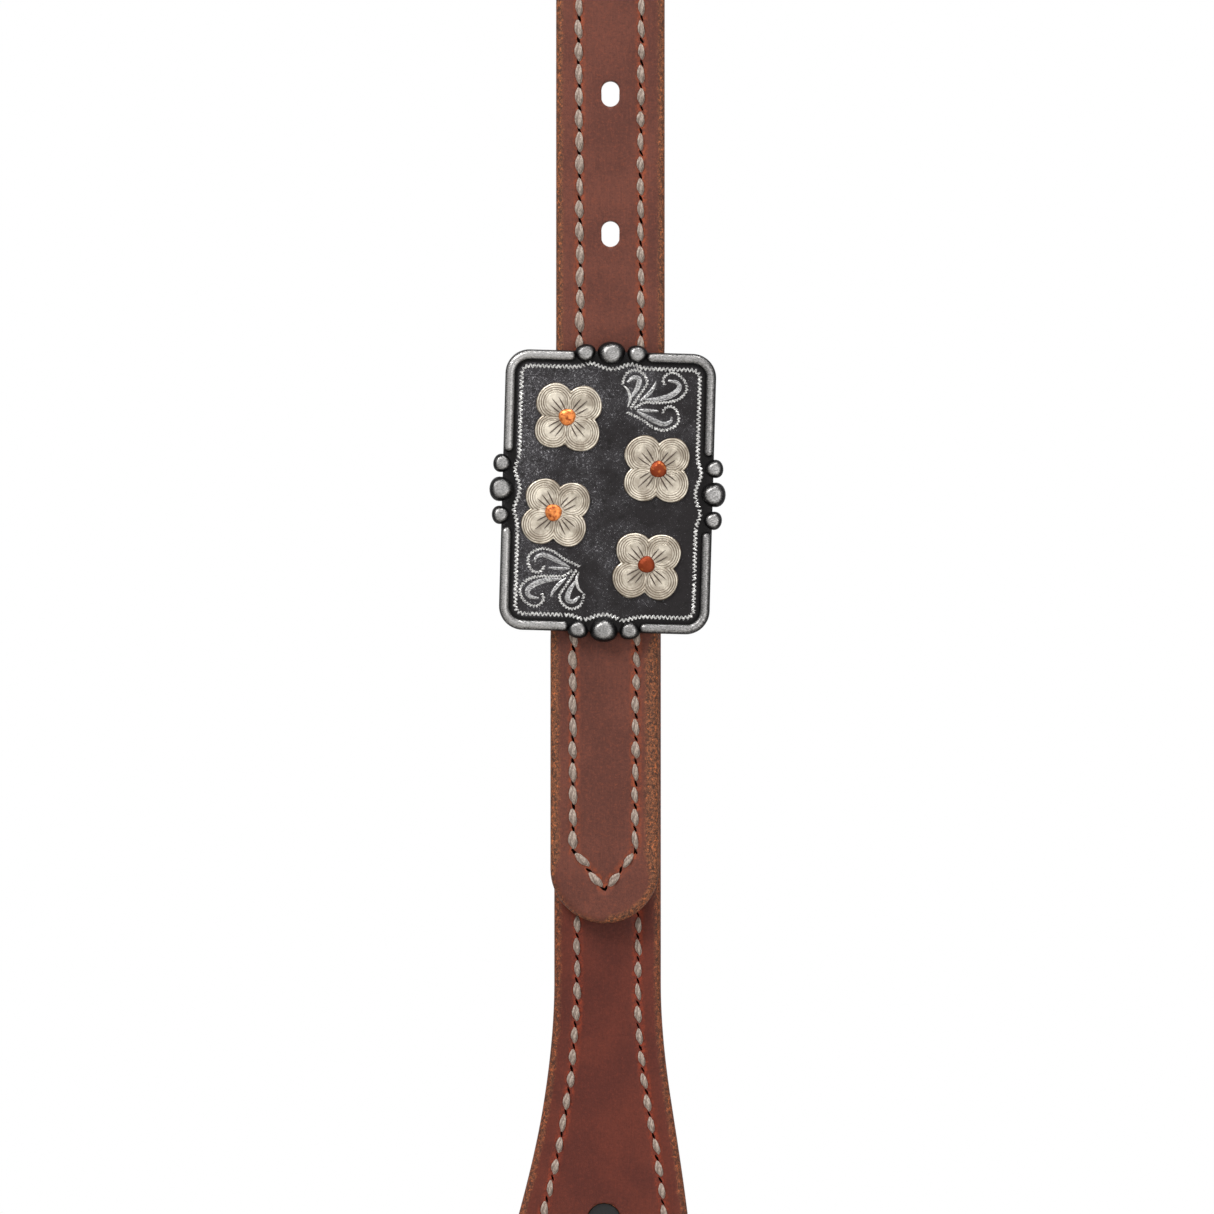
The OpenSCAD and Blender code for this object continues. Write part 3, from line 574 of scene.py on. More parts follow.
def sew(name, side, tracks, body, replaces):
    """Stitches, and dark lenses painted as the shadow in each awl hole, along tracks: points, the surface's
    normal at each, and the stitches' size.
    """
    stitches, slit_shadows = [], []
    for track, normals, fat in tracks:
        track, normals = np.array(track, float), np.array(normals, float)
        run = length_along(track)
        count = max(int(round(run[-1] / PITCH)), 1)
        pitch = run[-1] / count
        for i in range(count + 1):
            for where, store, lean, sink in (((i + 0.5) * pitch, stitches, 6, 0.1),
                                             (i * pitch, slit_shadows, 24, 0.2)):
                if where > run[-1] + 0.01:
                    continue
                at, up = follow(where, run, track), follow(where, run, normals)
                behind, ahead = max(where - 0.6, 0), min(where + 0.6, run[-1])
                along = follow(ahead, run, track) - follow(behind, run, track)
                along /= np.linalg.norm(along)
                across = np.cross(up, along)
                lean = math.radians(RNG.normal(lean, 3))
                x = along * math.cos(lean) + across * math.sin(lean)
                y = across * math.cos(lean) - along * math.sin(lean)
                jitter = across * (0.12 * math.sin(where / 17.0 + at[0]) + RNG.normal(0, 0.06))
                size = fat * np.array([RNG.normal(1, spread) for spread in (0.05, 0.09, 0.06)])
                store.append((at + jitter - up * sink, x, y, up, size))
    points, faces = scatter(STITCH, stitches)
    piece(f"{name}_stitches", to_row(side, points), faces, THREAD, body, replaces, "thread",
          ply=np.tile(STITCH_PLY_SHADE, len(stitches)))
    points, faces = scatter(SLIT_SHADOW, slit_shadows)
    piece(f"{name}_awl_shadows", to_row(side, points), faces, AWL_SHADOW, body, slot="thread")


# ---------------------------------------------------------------- tugs
def tug_middle(z):
    return TUG_LEAN * np.clip(z / LEAN_FROM, -1, 1)


def tug_line(front, top, folded):
    """From the rounded tip up to the snap, and over it when folded."""
    line = []
    centre = TUG_TIP + TUG_HALF
    for a in TIP_ANGLES:
        z = centre - TUG_HALF * math.cos(a)
        line.append(([-TUG_LEAN, front, z], OUTWARD, X_AXIS, z, TUG_HALF * math.sin(a)))
    for z in np.linspace(centre, top, int((top - centre) / 0.9)):
        line.append(([tug_middle(z), front, z], OUTWARD, X_AXIS, z, TUG_HALF))
    if folded:
        profile = fold_profile(EYE_FOLD + TUG_PLY, TUG_PLY, 12, 2 * TUG_PLY + TAIL_GAP, TUG_TAIL)
        add_fold(line, profile, (TUG_LEAN, top), (0, 1), front, X_AXIS, top, TUG_HALF, True)
    return line


def tug_rows(u, s, half):
    """Distance from the two rows of stitches and the V that joins them at the tip."""
    row = TUG_HALF - SEAM_IN
    straight = np.abs(np.abs(u) - row)
    straight = np.where(s < VEE_TOP, np.hypot(straight, VEE_TOP - s), straight)
    along = np.array([row, VEE_TOP - VEE_POINT])
    t = np.clip((np.abs(u) * along[0] + (s - VEE_POINT) * along[1]) / (along @ along), 0, 1)
    vee = np.hypot(np.abs(u) - t * along[0], s - VEE_POINT - t * along[1])
    return np.where(s > TUG_TOP - LINING_SHORT, FAR_OFF, np.minimum(straight, vee))


def tug_fray(u, z):
    """Below the plate the cut edges are frayed, the right one most."""
    return np.where(u > 0, 1.3, 0.4) * smooth((-24 - z) / 6)


def tug(side):
    body, tip = f"{side}_tug", (TUG_TIP + TUG_HALF, TUG_HALF)
    outer = strap(f"{side}_tug_strap", side, tug_line(-TUG_PLY, TUG_TOP, True), TUG_PLY, LEATHER_TUG, body,
                  [f"{side}_tug_outer"], "tug_leather", tug_rows, tip=tip, cut_start=False, frayed=tug_fray)
    lining = strap(f"{side}_tug_backing", side, tug_line(0.0, TUG_TOP - LINING_SHORT, False), TUG_PLY,
                   LEATHER_BACK, body, [f"{side}_tug_lining"], "lining_leather", round_front=0.25,
                   round_back=0.9, tip=tip, cut_start=False)
    holes = []
    for i in range(5):
        x, _, z = to_row(side, (0 if i == 0 else TUG_LEAN, 0, PINNED_HOLE + i * HOLE_PITCH))
        holes.append((ring_points(x, z, HOLE_W, HOLE_H), THROUGH_TUG))
    cut_holes(outer, holes)
    cut_holes(lining, holes)
    row = TUG_HALF - SEAM_IN
    tracks = []
    for k in (-1, 1):
        zs = np.linspace(TUG_TOP - SEAM_SHORT, VEE_TOP, 60)
        track = [(k * row + tug_middle(z), -TUG_PLY, z) for z in zs]
        fat = 1.04 if k < 0 else 0.92
        tracks.append((track, [OUTWARD] * len(track), fat))
        vee = [(k * row - TUG_LEAN, -TUG_PLY, VEE_TOP), (k * 0.2 - TUG_LEAN, -TUG_PLY, VEE_POINT)]
        tracks.append((vee, [OUTWARD] * 2, fat))
    sew(f"{side}_tug", side, tracks, body, [f"{side}_tug_thread"])


# ---------------------------------------------------------------- collar halves
def bend(s):
    return math.radians(min(TURN, max(0, math.degrees((s - ARC_FROM) / SWEEP_R))))


def line_at(s):
    """X and Z on a collar half's middle line, and how far the strap has turned there."""
    b = bend(s)
    past = max(0, s - ARC_FROM - ARC_LEN)
    x = -SWEEP_R * (1 - math.cos(b)) - past * math.sin(math.radians(TURN))
    z = -min(s, ARC_FROM) - SWEEP_R * math.sin(b) - past * math.cos(math.radians(TURN))
    return x, z, b


def half_width(s):
    return (NECK / 2 + (BODY - NECK) / 2 * float(smooth((s - FLARE_FROM) / FLARE_LEN))
            - (BODY / 2 - LOOP_HALF) * float(smooth((s - LINE_END + TAPER_LEN) / TAPER_LEN)))


def collar_line(front, start, end, folds):
    line = []
    if folds:
        profile = fold_profile(BAR_FOLD, COLLAR_PLY, 12, 2 * COLLAR_PLY + TAIL_GAP, 34)
        add_fold(line, profile, (0, BAR_Z), (0, 1), front, X_AXIS, start, NECK / 2, False)
    for s in np.linspace(start, end, int(end - start)):
        x, z, b = line_at(s)
        line.append(([x, front, z], OUTWARD, [math.cos(b), 0, -math.sin(b)], s, half_width(s)))
    if folds:
        x, z, b = line_at(end)
        profile = fold_profile(LOOP_IN + COLLAR_PLY, COLLAR_PLY, 16, 2 * COLLAR_PLY + TAIL_GAP, 36)
        add_fold(line, profile, (x, z), (-math.sin(b), -math.cos(b)), front,
                 [math.cos(b), 0, -math.sin(b)], end, LOOP_HALF, True)
    return line


SEAM_FROM, SEAM_TO = -BAR_Z + 8, LINE_END - 44


def collar_rows(u, s, half):
    apart = np.abs(np.abs(u) - (half - SEAM_IN))
    return np.where((s > SEAM_FROM) & (s < SEAM_TO), apart, FAR_OFF)


def collar(side):
    body = f"{side}_collar"
    outer = strap(f"{side}_collar_strap", side, collar_line(COLLAR_FRONT, -BAR_Z, LINE_END, True), COLLAR_PLY,
                  LEATHER_COLLAR, body, [f"{side}_collar_outer"], "collar_leather", collar_rows, count=22,
                  round_front=1.3)
    backing_line = collar_line(COLLAR_FRONT + COLLAR_PLY, SEAM_FROM, LINE_END - 14, False)
    strap(f"{side}_collar_backing", side, backing_line, COLLAR_PLY, LEATHER_BACK, body,
          [f"{side}_collar_lining"], "lining_leather", count=14, round_front=0.25, round_back=1.0)
    x, z, _ = line_at(-RIVET_Z)
    x, _, z = to_row(side, (x, 0, z))
    front = FRONT_Y + COLLAR_FRONT
    rivet_hole = ring_points(x, z, 2 * RIVET_HOLE, 2 * RIVET_HOLE, 40), (front - 3, front + COLLAR_PLY - 0.01)
    bar = PLACE[side][2] + BAR_Z
    cut_holes(outer, [rivet_hole, (slot_points(PLACE[side][0], bar - 7, bar + 7), THROUGH_COLLAR)])
    tracks = []
    for k in (-1, 1):
        track = []
        for s in np.linspace(SEAM_FROM, SEAM_TO, 260):
            x, z, b = line_at(s)
            w = k * (half_width(s) - SEAM_IN)
            track.append((x + w * math.cos(b), COLLAR_FRONT, z - w * math.sin(b)))
        tracks.append((track, [OUTWARD] * len(track), 0.88 if k < 0 else 0.84))
    sew(f"{side}_collar", side, tracks, body, [f"{side}_collar_thread"])


# ---------------------------------------------------------------- engraved buckle plates
PLATE_TILT = math.radians(-1.6)
RIM_R, RIM_DEPTH, RIM_GAP = 0.92, 0.85, 6.9
BEADS = (-4.5, 1.6), (0, 2.14), (4.5, 1.6)       # places along the middle of each side, and radii
CUT_HEIGHT, CUT_BASE, MISSED = 0.08, PLATE_FRONT - 0.005, 0.02


def outline(inset, bulge=0.0, per_side=60, corner_steps=14):
    """Points round the plate at an inset, bulging near each side's middle."""
    w, h, r = PLATE_W / 2 - inset, PLATE_H / 2 - inset, max(PLATE_CORNER - inset, 0.4)
    points = []
    for k in range(4):
        half, reach = (w, h) if k % 2 == 0 else (h, w)
        local = []
        for v in np.linspace(-(reach - r), reach - r, per_side, endpoint=False):
            lift = bulge * (math.exp(-(((abs(v) - 3.5) / 1.5) ** 2)) - 0.3 * math.exp(-((v / 1.4) ** 2)))
            local.append((half + lift, v))
        for a in np.linspace(0, math.pi / 2, corner_steps, endpoint=False):
            local.append((half - r + r * math.cos(a), reach - r + r * math.sin(a)))
        points += [turned(math.radians(90 * k), x, z) for x, z in local]
    return np.array(points)


def on_plate(side, points):
    """Points on a buckle's plate, to the row frame: the right plate hangs a little crooked."""
    p = np.array(points, float)
    p[..., 0], p[..., 2] = turned(PLATE_TILT if side == "right" else 0, p[..., 0], p[..., 2])
    return to_row(side, p)


def tube(path, radius, depth_radius, around=14):
    """A rod with rounded ends along a path in a plane of X and Z."""
    first, last = path[0] - path[1], path[-1] - path[-2]
    first, last = first / np.linalg.norm(first), last / np.linalg.norm(last)
    angles = np.radians([86, 65, 45, 22])
    start = [path[0] + first * radius * math.sin(a) for a in angles]
    finish = [path[-1] + last * radius * math.sin(a) for a in angles[::-1]]
    sizes = [math.cos(a) for a in angles] + [1] * len(path) + [math.cos(a) for a in angles[::-1]]
    path = np.array(start + list(path) + finish)
    across = np.cross(np.gradient(path, axis=0), OUTWARD)
    across /= np.linalg.norm(across, axis=1)[:, None]
    rings = []
    for p, c, k in zip(path, across, sizes):
        rings.append(np.array([p + c * radius * k * math.cos(a) + OUTWARD * depth_radius * k * math.sin(a)
                               for a in np.linspace(0, 2 * math.pi, around, endpoint=False)]))
    return loops(rings)


def dome(centre, rx, rz, height, turn=0.0, facet=0.0, rings=9, around=28):
    """An egg-shaped half-sunk bead whose front is filed to a facet, and the height of each point on it."""
    made, heights = [], []
    for i in range(-3, rings + 1):
        a = math.radians(88) * i / rings
        depth, size = math.sin(a), math.cos(a)
        row = []
        for b in np.linspace(0, 2 * math.pi, around, endpoint=False):
            x, z = size * math.cos(b), size * math.sin(b)
            pinch = 1 + 0.16 * z
            d = min(depth, 1 - facet * (0.55 + 0.45 * x + 0.25 * z))
            x, z = turned(turn, x * rx * pinch, z * rz)
            row.append((centre[0] + x, centre[1] - d * height, centre[2] + z))
        made.append(np.array(row))
        heights += [max(depth, 0)] * around
    return *loops(made), np.array(heights)


def side_ways(path):
    """Unit directions across a path in X and Z."""
    ahead = np.gradient(path, axis=0)
    ahead /= np.linalg.norm(ahead, axis=1)[:, None]
    return np.stack([-ahead[:, 1], ahead[:, 0]], -1)


def ribbon(path, width, height, base, taper=0.35):
    """A raised bright cut: a low ridge along a path in X and Z, its width given at each point."""
    across = side_ways(path) * width[:, None]
    edges = [at_depth(path + across * offset, base - lift * height)
             for offset, lift in ((-0.5, 0.0), (-0.5 * taper, 1.0), (0.5 * taper, 1.0), (0.5, 0.0))]
    return loops(np.stack([*edges, at_depth(path, base + 0.1)], 1))


def through(points, steps=8):
    """A smooth curve through given points."""
    p = np.array(points, float)
    ends = np.concatenate([[2 * p[0] - p[1]], p, [2 * p[-1] - p[-2]]])
    made = []
    for i in range(1, len(ends) - 2):
        a, b, c, d = ends[i - 1:i + 3]
        for t in np.linspace(0, 1, steps, endpoint=False):
            made.append(0.5 * (2 * b + (c - a) * t + (2 * a - 5 * b + 4 * c - d) * t**2
                               + (3 * b - a - 3 * c + d) * t**3))
    return np.array(made + [p[-1]])


def evenly(path, step):
    """The same path with its points a fixed step apart, and the run at each."""
    run = length_along(path)
    at = np.linspace(0, run[-1], max(int(round(run[-1] / step)), 2) + 1)
    return follow(at, run, path), at


def wriggle(path, pitch, swing, width):
    """A graver walked from side to side along a path: a zigzag of short bright cuts, a few of them missed."""
    points, _ = evenly(path, pitch / 2)
    parts = []
    zig = points + side_ways(points) * (np.where(np.arange(len(points)) % 2, 0.5, -0.5) * swing)[:, None]
    for a, b in zip(zig[:-1], zig[1:]):
        if RNG.random() < MISSED:
            continue
        mid = (a + b) / 2 + RNG.normal(0, 0.03, 2)
        size = width * RNG.uniform(0.75, 1.2)
        widths = size * np.array([0.55, 1, 0.6])
        parts.append(ribbon(np.array([a, mid, b]), widths, CUT_HEIGHT, CUT_BASE))
    return joined(parts)


# Scrolls of one engraved spray, in millimetres from the stem where they meet, opening up and to the right.
SPRAY_BEADED = [
    [(0.3, 0.3), (1.5, 2.3), (2.5, 3.8), (3.1, 4.8), (2.8, 5.9), (1.9, 6.8), (0.9, 7.1), (-0.3, 6.7),
     (-0.9, 5.8), (-1.2, 4.5)],
    [(1.0, 0.4), (2.5, 1.4), (4.6, 1.5), (6.8, 1.6), (8.7, 2.2), (9.9, 3.5), (9.9, 4.8), (9.0, 6.1),
     (7.7, 6.8), (6.5, 6.5), (5.8, 5.5), (6.2, 4.6)],
    [(-0.3, -0.3), (1.0, -0.9), (2.5, -1.6), (3.9, -2.6), (5.7, -3.3), (7.4, -3.0), (8.6, -2.0),
     (8.7, -0.6), (8.0, 0.6), (7.0, 0.9), (6.1, 0.3), (6.0, -0.3)],
]
SPRAY_BRIGHT = [([(-1.0, 4.3), (-0.2, 3.5), (0.2, 2.0), (-0.2, 0.6)], 0.5)]
SPRAY_SHADED = [
    ([(2.0, 1.7), (3.3, 2.9), (4.2, 4.1), (4.6, 5.1)], 0.65),
    ([(1.4, 0.1), (3.3, 0.1), (5.2, 0.0)], 0.55),
    ([(-0.4, 4.9), (0.7, 5.8), (1.7, 5.4), (1.3, 3.8), (0.4, 2.3)], 0.9),
    ([(2.8, 1.9), (5.4, 2.2), (7.4, 2.9), (8.7, 4.1), (8.3, 5.1), (6.7, 5.4)], 0.95),
    ([(1.4, -0.1), (3.0, -0.9), (4.6, -1.7), (6.2, -2.2), (7.4, -1.7), (7.5, -0.9)], 0.85),
]
# Where the stems of the two sprays meet, and 1 for a spray as drawn or -1 for one turned half round.
SPRAYS = ((3.3, 14.3), 1), ((-4.8, -13.5), -1)


def plate(side):
    """A buckle's engraved plate: its ground, the rim bars, the beads between them and the bright cuts."""
    body = f"{side}_tug"
    profile = [(0.5, PLATE_BACK, 0), (0.0, PLATE_BACK - 0.3, 0), (0.0, PLATE_FRONT + 0.5, 0.3),
               (0.25, PLATE_FRONT + 0.1, 0.6), (1.45, PLATE_FRONT, 1), (2.15, PLATE_FRONT, 1),
               (2.45, PLATE_FRONT, 0.25), (2.75, PLATE_FRONT, 0), (4, PLATE_FRONT, 0), (8, PLATE_FRONT, 0),
               (14, PLATE_FRONT, 0), (17.5, PLATE_FRONT, 0)]
    rings, groove = [], []
    for inset, y, dark in profile:
        points = outline(inset)
        rings.append(at_depth(points, y))
        groove += [dark] * len(points)
    points, faces = loops(rings)
    # Painted reflection: the ground is lighter, with denser bright flecks, towards the top and negative x.
    frosted = np.clip(0.2 - points[:, 0] / 110 + points[:, 2] / 260, 0, 0.45)
    piece(f"{side}_plate_ground", on_plate(side, points), faces, GROUND, body, [f"{side}_buckle_plate"],
          "antique_silver", False, groove=groove, frosted=frosted)

    bars = []
    points = outline(RIM_R)
    count = len(points) // 4
    for k in range(4):      # each bar runs round a corner, from the beads of one side to those of the next
        corner = np.roll(points, -k * count, 0)[:2 * count]
        beaded = np.flatnonzero((np.abs(corner) <= RIM_GAP).any(1))
        start, end = beaded[beaded < count][-1] + 1, beaded[beaded >= count][0]
        bars.append(tube(at_depth(corner[start:end], PLATE_FRONT), RIM_R, RIM_DEPTH))
    points, faces = joined(bars)
    lift = np.clip((PLATE_FRONT - points[:, 1]) / RIM_DEPTH, 0, 1)
    # Brighter on each bar's crown (real wear and a painted highlight), and towards the top and negative x
    # (painted light).
    piece(f"{side}_plate_rim", on_plate(side, points), faces, SILVER_RIM, body, slot="antique_silver",
          worn=-0.055 + 0.52 * lift ** 1.6 + points[:, 2] / 1450 - points[:, 0] / 400)

    beads, worn = [], []
    for k in range(4):
        sideways = k % 2 == 0
        reach = PLATE_W / 2 + 0.1 if sideways else PLATE_H / 2 - 0.4
        a = math.radians(90 * k)
        for number, (along, radius) in enumerate(BEADS):
            x, z = turned(a, reach, along)
            wide = radius * (1.0 if sideways else 1.12)
            facet = 0.26 + 0.05 * math.sin(3 * k + 2 * number)
            points, faces, height = dome((x, PLATE_FRONT + 0.15, z), wide, radius, radius * 0.9,
                                         a - math.pi / 2 + 0.15 * (number - 1), facet)
            beads.append((points, faces))
            # Brighter towards each bead's front: real wear of its filed facet, and a painted highlight.
            worn.append(-0.16 + 0.58 * np.clip(height / 0.85, 0, 1) ** 2.6)
    points, faces = joined(beads)
    piece(f"{side}_plate_beads", on_plate(side, points), faces, SILVER_RIM, body, slot="antique_silver",
          worn=np.concatenate(worn))

    border = outline(2.85, 0.75)
    bright, shaded = [wriggle(np.concatenate([border, border[:1]]), 0.7, 0.74, 0.31)], []
    for origin, way in SPRAYS:
        bright += [wriggle(origin + way * through(path), 0.52, 0.52, 0.27) for path in SPRAY_BEADED]
        for store, cuts in ((bright, SPRAY_BRIGHT), (shaded, SPRAY_SHADED)):
            for path, width in cuts:
                line, run = evenly(origin + way * through(path), 0.3)
                swell = np.sin(np.pi * (0.08 + 0.84 * run / run[-1])) ** 0.8
                store.append(ribbon(line, width * swell, CUT_HEIGHT, CUT_BASE, 0.2))
    for name, made, material in (("cuts", bright, CUT), ("shading", shaded, SHADE_CUT)):
        points, faces = joined(made)
        piece(f"{side}_plate_{name}", on_plate(side, points), faces, material, body, slot="antique_silver",
              smooth_faces=False, worn=np.full(len(points), 0.5))


# Each flower's rivet, how far its petals sit from it, and how dark its copper has gone.
FLOWERS = [((-7.4, 12.8), (0.15, 0), 0.02), ((8.8, 4.15), (-0.25, 0), 0.24),
           ((-9.3, -3.85), (0.45, -0.05), 0.02), ((7.15, -12.45), (0.05, -0.3), 0.34)]
PETAL_R, PETAL_AT, HEAD_R, HEAD_H = 3.28, 2.42, 1.48, 0.68


def flower(centre, number):
    """Four overlapping dished petals as one disc of rings, and the cuts that fan out from its middle."""
    turn = math.radians(-4 + 3 * math.sin(number * 2.1))
    around, steps = 168, 22
    angles = np.linspace(0, 2 * math.pi, around, endpoint=False)
    petals = [np.array((x, z)) * PETAL_AT for x, z in ((1, 1), (-1, 1), (-1, -1), (1, -1))]
    sizes = 1 + 0.03 * np.array([math.sin(number * 5 + k * 2.4) for k in range(4)])
    rim = np.zeros(around)
    for i, a in enumerate(angles):
        way = np.array([math.cos(a), math.sin(a)])
        for p, size in zip(petals, sizes):
            r = PETAL_R * size * (1 + 0.02 * math.sin(7 * a + number))
            along = way @ p
            off = p @ p - along**2
            if off < r * r:
                rim[i] = max(rim[i], along + math.sqrt(r * r - off))
    points, contour, cut = [], [], []
    for k in range(steps + 1):
        share = max(k / steps, 0.02) ** 0.8
        for i, a in enumerate(angles):
            x, z = rim[i] * share * math.cos(a), rim[i] * share * math.sin(a)
            gaps = [PETAL_R * s - math.hypot(x - p[0], z - p[1]) for p, s in zip(petals, sizes)]
            edge = max(gaps)
            which = int(np.argmax(gaps))
            local = math.hypot(x - petals[which][0], z - petals[which][1])
            dish = 0.2 * (local / PETAL_R) ** 2 + 0.1 * math.exp(-((x * x + z * z) / 2.2))
            roll = 0.16 * math.exp(-((edge / 0.22) ** 2))
            overlap = edge - sorted(gaps)[-2]
            split = 0.16 * math.exp(-((overlap / 0.4) ** 2)) * min(1, share * 1.4)
            points.append((x, -0.42 - dish + roll + split, z))
            contour.append(edge)
            cut.append(float(smooth((2.1 - edge) / 0.9)) * (0.4 + 0.6 * share))
    points += [(r * 0.985 * math.cos(a), 0.0, r * 0.985 * math.sin(a)) for r, a in zip(rim, angles)]
    contour += [0] * around
    cut += [0] * around
    p, faces = loops(np.array(points).reshape(-1, around, 3))
    x, z = turned(turn, p[:, 0], p[:, 2])
    placed = np.stack([centre[0] + x, PLATE_FRONT + p[:, 1], centre[1] + z], -1)
    rays = []
    for k in range(4):
        way = math.radians(45 + 90 * k) + turn
        for fan in (-0.3, 0.02, 0.32):
            start, finish = 1.45, 4.35 - 1.6 * abs(fan) + 0.35 * math.sin(number + k * 3 + fan * 9)
            a, b = way + fan * 1.15, way + fan * 0.85
            path = [(centre[0] + r * math.cos(t), centre[1] + r * math.sin(t))
                    for r, t in ((start, a), ((start + finish) / 2, (a + b) / 2), (finish, b))]
            line, run = evenly(np.array(path), 0.3)
            width = 0.24 * np.sin(np.pi * (0.15 + 0.8 * run / run[-1]))
            rays.append(ribbon(line, width, 0.09, PLATE_FRONT - 0.5))
    return placed, faces, contour, cut, rays


def flowers(side):
    body = f"{side}_tug"
    parts, contour, cut, rays, heads, tones = [], [], [], [], [], []
    for number, (centre, shift, tone) in enumerate(FLOWERS):
        points, faces, c, k, r = flower((centre[0] + shift[0], centre[1] + shift[1]), number)
        parts.append((points, faces))
        contour += c
        cut += k
        rays += r
        middle_of_head = centre[0], PLATE_FRONT - 0.6, centre[1]
        points, faces, _ = dome(middle_of_head, HEAD_R, HEAD_R, HEAD_H, number, 0.12)
        heads.append((points, faces))
        tones += [tone] * len(points)
    points, faces = joined(parts)
    piece(f"{side}_flower_petals", on_plate(side, points), faces, PETAL, body, [f"{side}_buckle_flowers"],
          "flower_silver", contour=contour, cut=cut)
    points, faces = joined(rays)
    piece(f"{side}_flower_cuts", on_plate(side, points), faces, RAY, body, slot="flower_silver")
    points, faces = joined(heads)
    piece(f"{side}_flower_heads", on_plate(side, points), faces, COPPER, body, [f"{side}_flower_rivets"],
          "copper", tone=tones)


# ---------------------------------------------------------------- girth strap, dee tabs and springs
GIRTH_REST = GIRTH_PLY + TAIL_GAP
GIRTH_FOLD = fold_profile(EYE_FOLD + GIRTH_PLY, GIRTH_PLY, 16, GIRTH_REST, GIRTH_TAIL)


def straight(origin, direction, distances, halves, front):
    """A strap's line, straight from an origin along a direction in its plane."""
    across = [-direction[1], 0, direction[0]]
    return [([origin[0] + direction[0] * d, front, origin[1] + direction[1] * d], OUTWARD, across, d, half)
            for d, half in zip(distances, halves)]


def girth_rows(u, s, half):
    return np.abs(np.abs(u) - (GIRTH_HALF - SEAM_IN))


def girth_tracks(low, high, front):
    zs = np.linspace(high, low, 40)
    return [([(k * (GIRTH_HALF - SEAM_IN), front, z) for z in zs], [OUTWARD] * len(zs), 1.0) for k in (-1, 1)]


def girth_upper():
    line = []
    loop = fold_profile(LOOP_IN + GIRTH_PLY, GIRTH_PLY, 20, GIRTH_REST, GIRTH_TAIL + 6)
    add_fold(line, loop, (0, -LOOP_AT), (0, 1), GIRTH_FRONT, X_AXIS, 0, LOOP_HALF, False)
    along = np.linspace(0, GIRTH_LEN, 100)
    halves = LOOP_HALF + (GIRTH_HALF - LOOP_HALF) * np.clip(along / 18, 0, 1)
    line += straight((0, -LOOP_AT), (0, -1), along, halves, GIRTH_FRONT)
    add_fold(line, GIRTH_FOLD, (0, HEEL_Z), (0, -1), GIRTH_FRONT, X_AXIS, GIRTH_LEN, GIRTH_HALF, True)
    o = strap("girth_upper_strap", "girth", line, GIRTH_PLY, LEATHER_COLLAR, "girth", ["girth_strap_upper"],
              SLOTS["girth_strap_upper"], girth_rows, round_back=0.8)
    heel = RING[2] + HEEL_Z
    cut_holes(o, [(slot_points(RING[0], heel - 8, heel + 7), THROUGH_GIRTH)])


def girth_billet():
    path = np.array([(BILLET_TIP, BILLET_HIGH), (HEEL_Z - 2, BILLET_HIGH), (FAR_Z + 4, BILLET_LOW),
                     (EYE_Z, BILLET_LOW)])
    run = length_along(path)
    rows = 190
    s = np.concatenate([GIRTH_HALF * (1 - np.cos(TIP_ANGLES)), np.linspace(GIRTH_HALF, run[-1], rows)])
    at = follow(s, run, path)
    way = follow(s + 2, run, path) - follow(s - 2, run, path)
    way /= np.linalg.norm(way, axis=1)[:, None]
    half = np.concatenate([GIRTH_HALF * np.sin(TIP_ANGLES), np.full(rows, GIRTH_HALF)])
    half = np.minimum(half, TUG_HALF + (GIRTH_HALF - TUG_HALF) * np.clip((at[:, 0] - EYE_Z - 5) / 10, 0, 1))
    line = [([0, y, z], [0, up, -out], X_AXIS, *row) for (z, y), (up, out), *row in zip(at, way, s, half)]
    add_fold(line, GIRTH_FOLD, (0, EYE_Z), (0, -1), BILLET_LOW, X_AXIS, s[-1], TUG_HALF, True)
    o = strap("girth_billet_strap", "girth", line, GIRTH_PLY, LEATHER_COLLAR, "girth", ["girth_strap_billet"],
              SLOTS["girth_strap_billet"], girth_rows, tip=(GIRTH_HALF, GIRTH_HALF), cut_start=False,
              round_back=0.8)
    holes = [(ring_points(RING[0], RING[2] + HEEL_Z - 12, 3.6, 17.2), THROUGH_GIRTH)]
    for z in (HEEL_Z + 22, HEEL_Z + 46, FAR_Z - 20, FAR_Z - 45, FAR_Z - 70):
        holes.append((ring_points(RING[0], RING[2] + z, HOLE_W, HOLE_H), THROUGH_GIRTH))
    cut_holes(o, holes)
    tracks = girth_tracks(HEEL_Z + 70, -LOOP_AT - 42, GIRTH_FRONT)
    tracks += girth_tracks(HEEL_Z + 12, HEEL_Z + 32, GIRTH_FRONT)
    tracks += girth_tracks(EYE_Z + 44, FAR_Z - 8, BILLET_LOW)
    sew("girth", "girth", tracks, "girth", ["girth_thread"])


def keeper():
    """A closed band round the girth strap, drawn as its cross-section carried round a rounded rectangle."""
    inner, y0, y1 = GIRTH_HALF + 0.5, BILLET_HIGH - 0.3, GIRTH_FRONT + GIRTH_PLY + 0.5
    centre_y, half_y = (y0 + y1) / 2, (y1 - y0) / 2
    r = 0.8
    path = []
    for cx, cy, first in ((1, 1, 0), (-1, 1, 90), (-1, -1, 180), (1, -1, 270)):
        for a in np.radians(np.linspace(first, first + 90, 7)):
            path.append((cx * (inner - r), cy * (half_y - r), math.cos(a), math.sin(a)))
    half = KEEPER_H / 2
    upper = [(0, half - 0.3), (0.25, half), (KEEPER_T - 0.5, half), (KEEPER_T, half - 0.6), (KEEPER_T, 2)]
    across = [(out, -z) for out, z in upper] + upper[::-1]
    rings = [[(x + nx * (r + out), centre_y + y + ny * (r + out), KEEPER_Z + z) for out, z in across]
             for x, y, nx, ny in path]
    points, faces = loops(rings, True)
    edge = np.tile([0, 0, 0, 0.6, 3, 3, 0.6, 0, 0, 0], len(rings))
    piece("girth_keeper_loop", to_row("girth", points), faces, LEATHER_COLLAR, "girth", ["girth_keeper"],
          SLOTS["girth_keeper"], edge=edge, row=edge * 0)


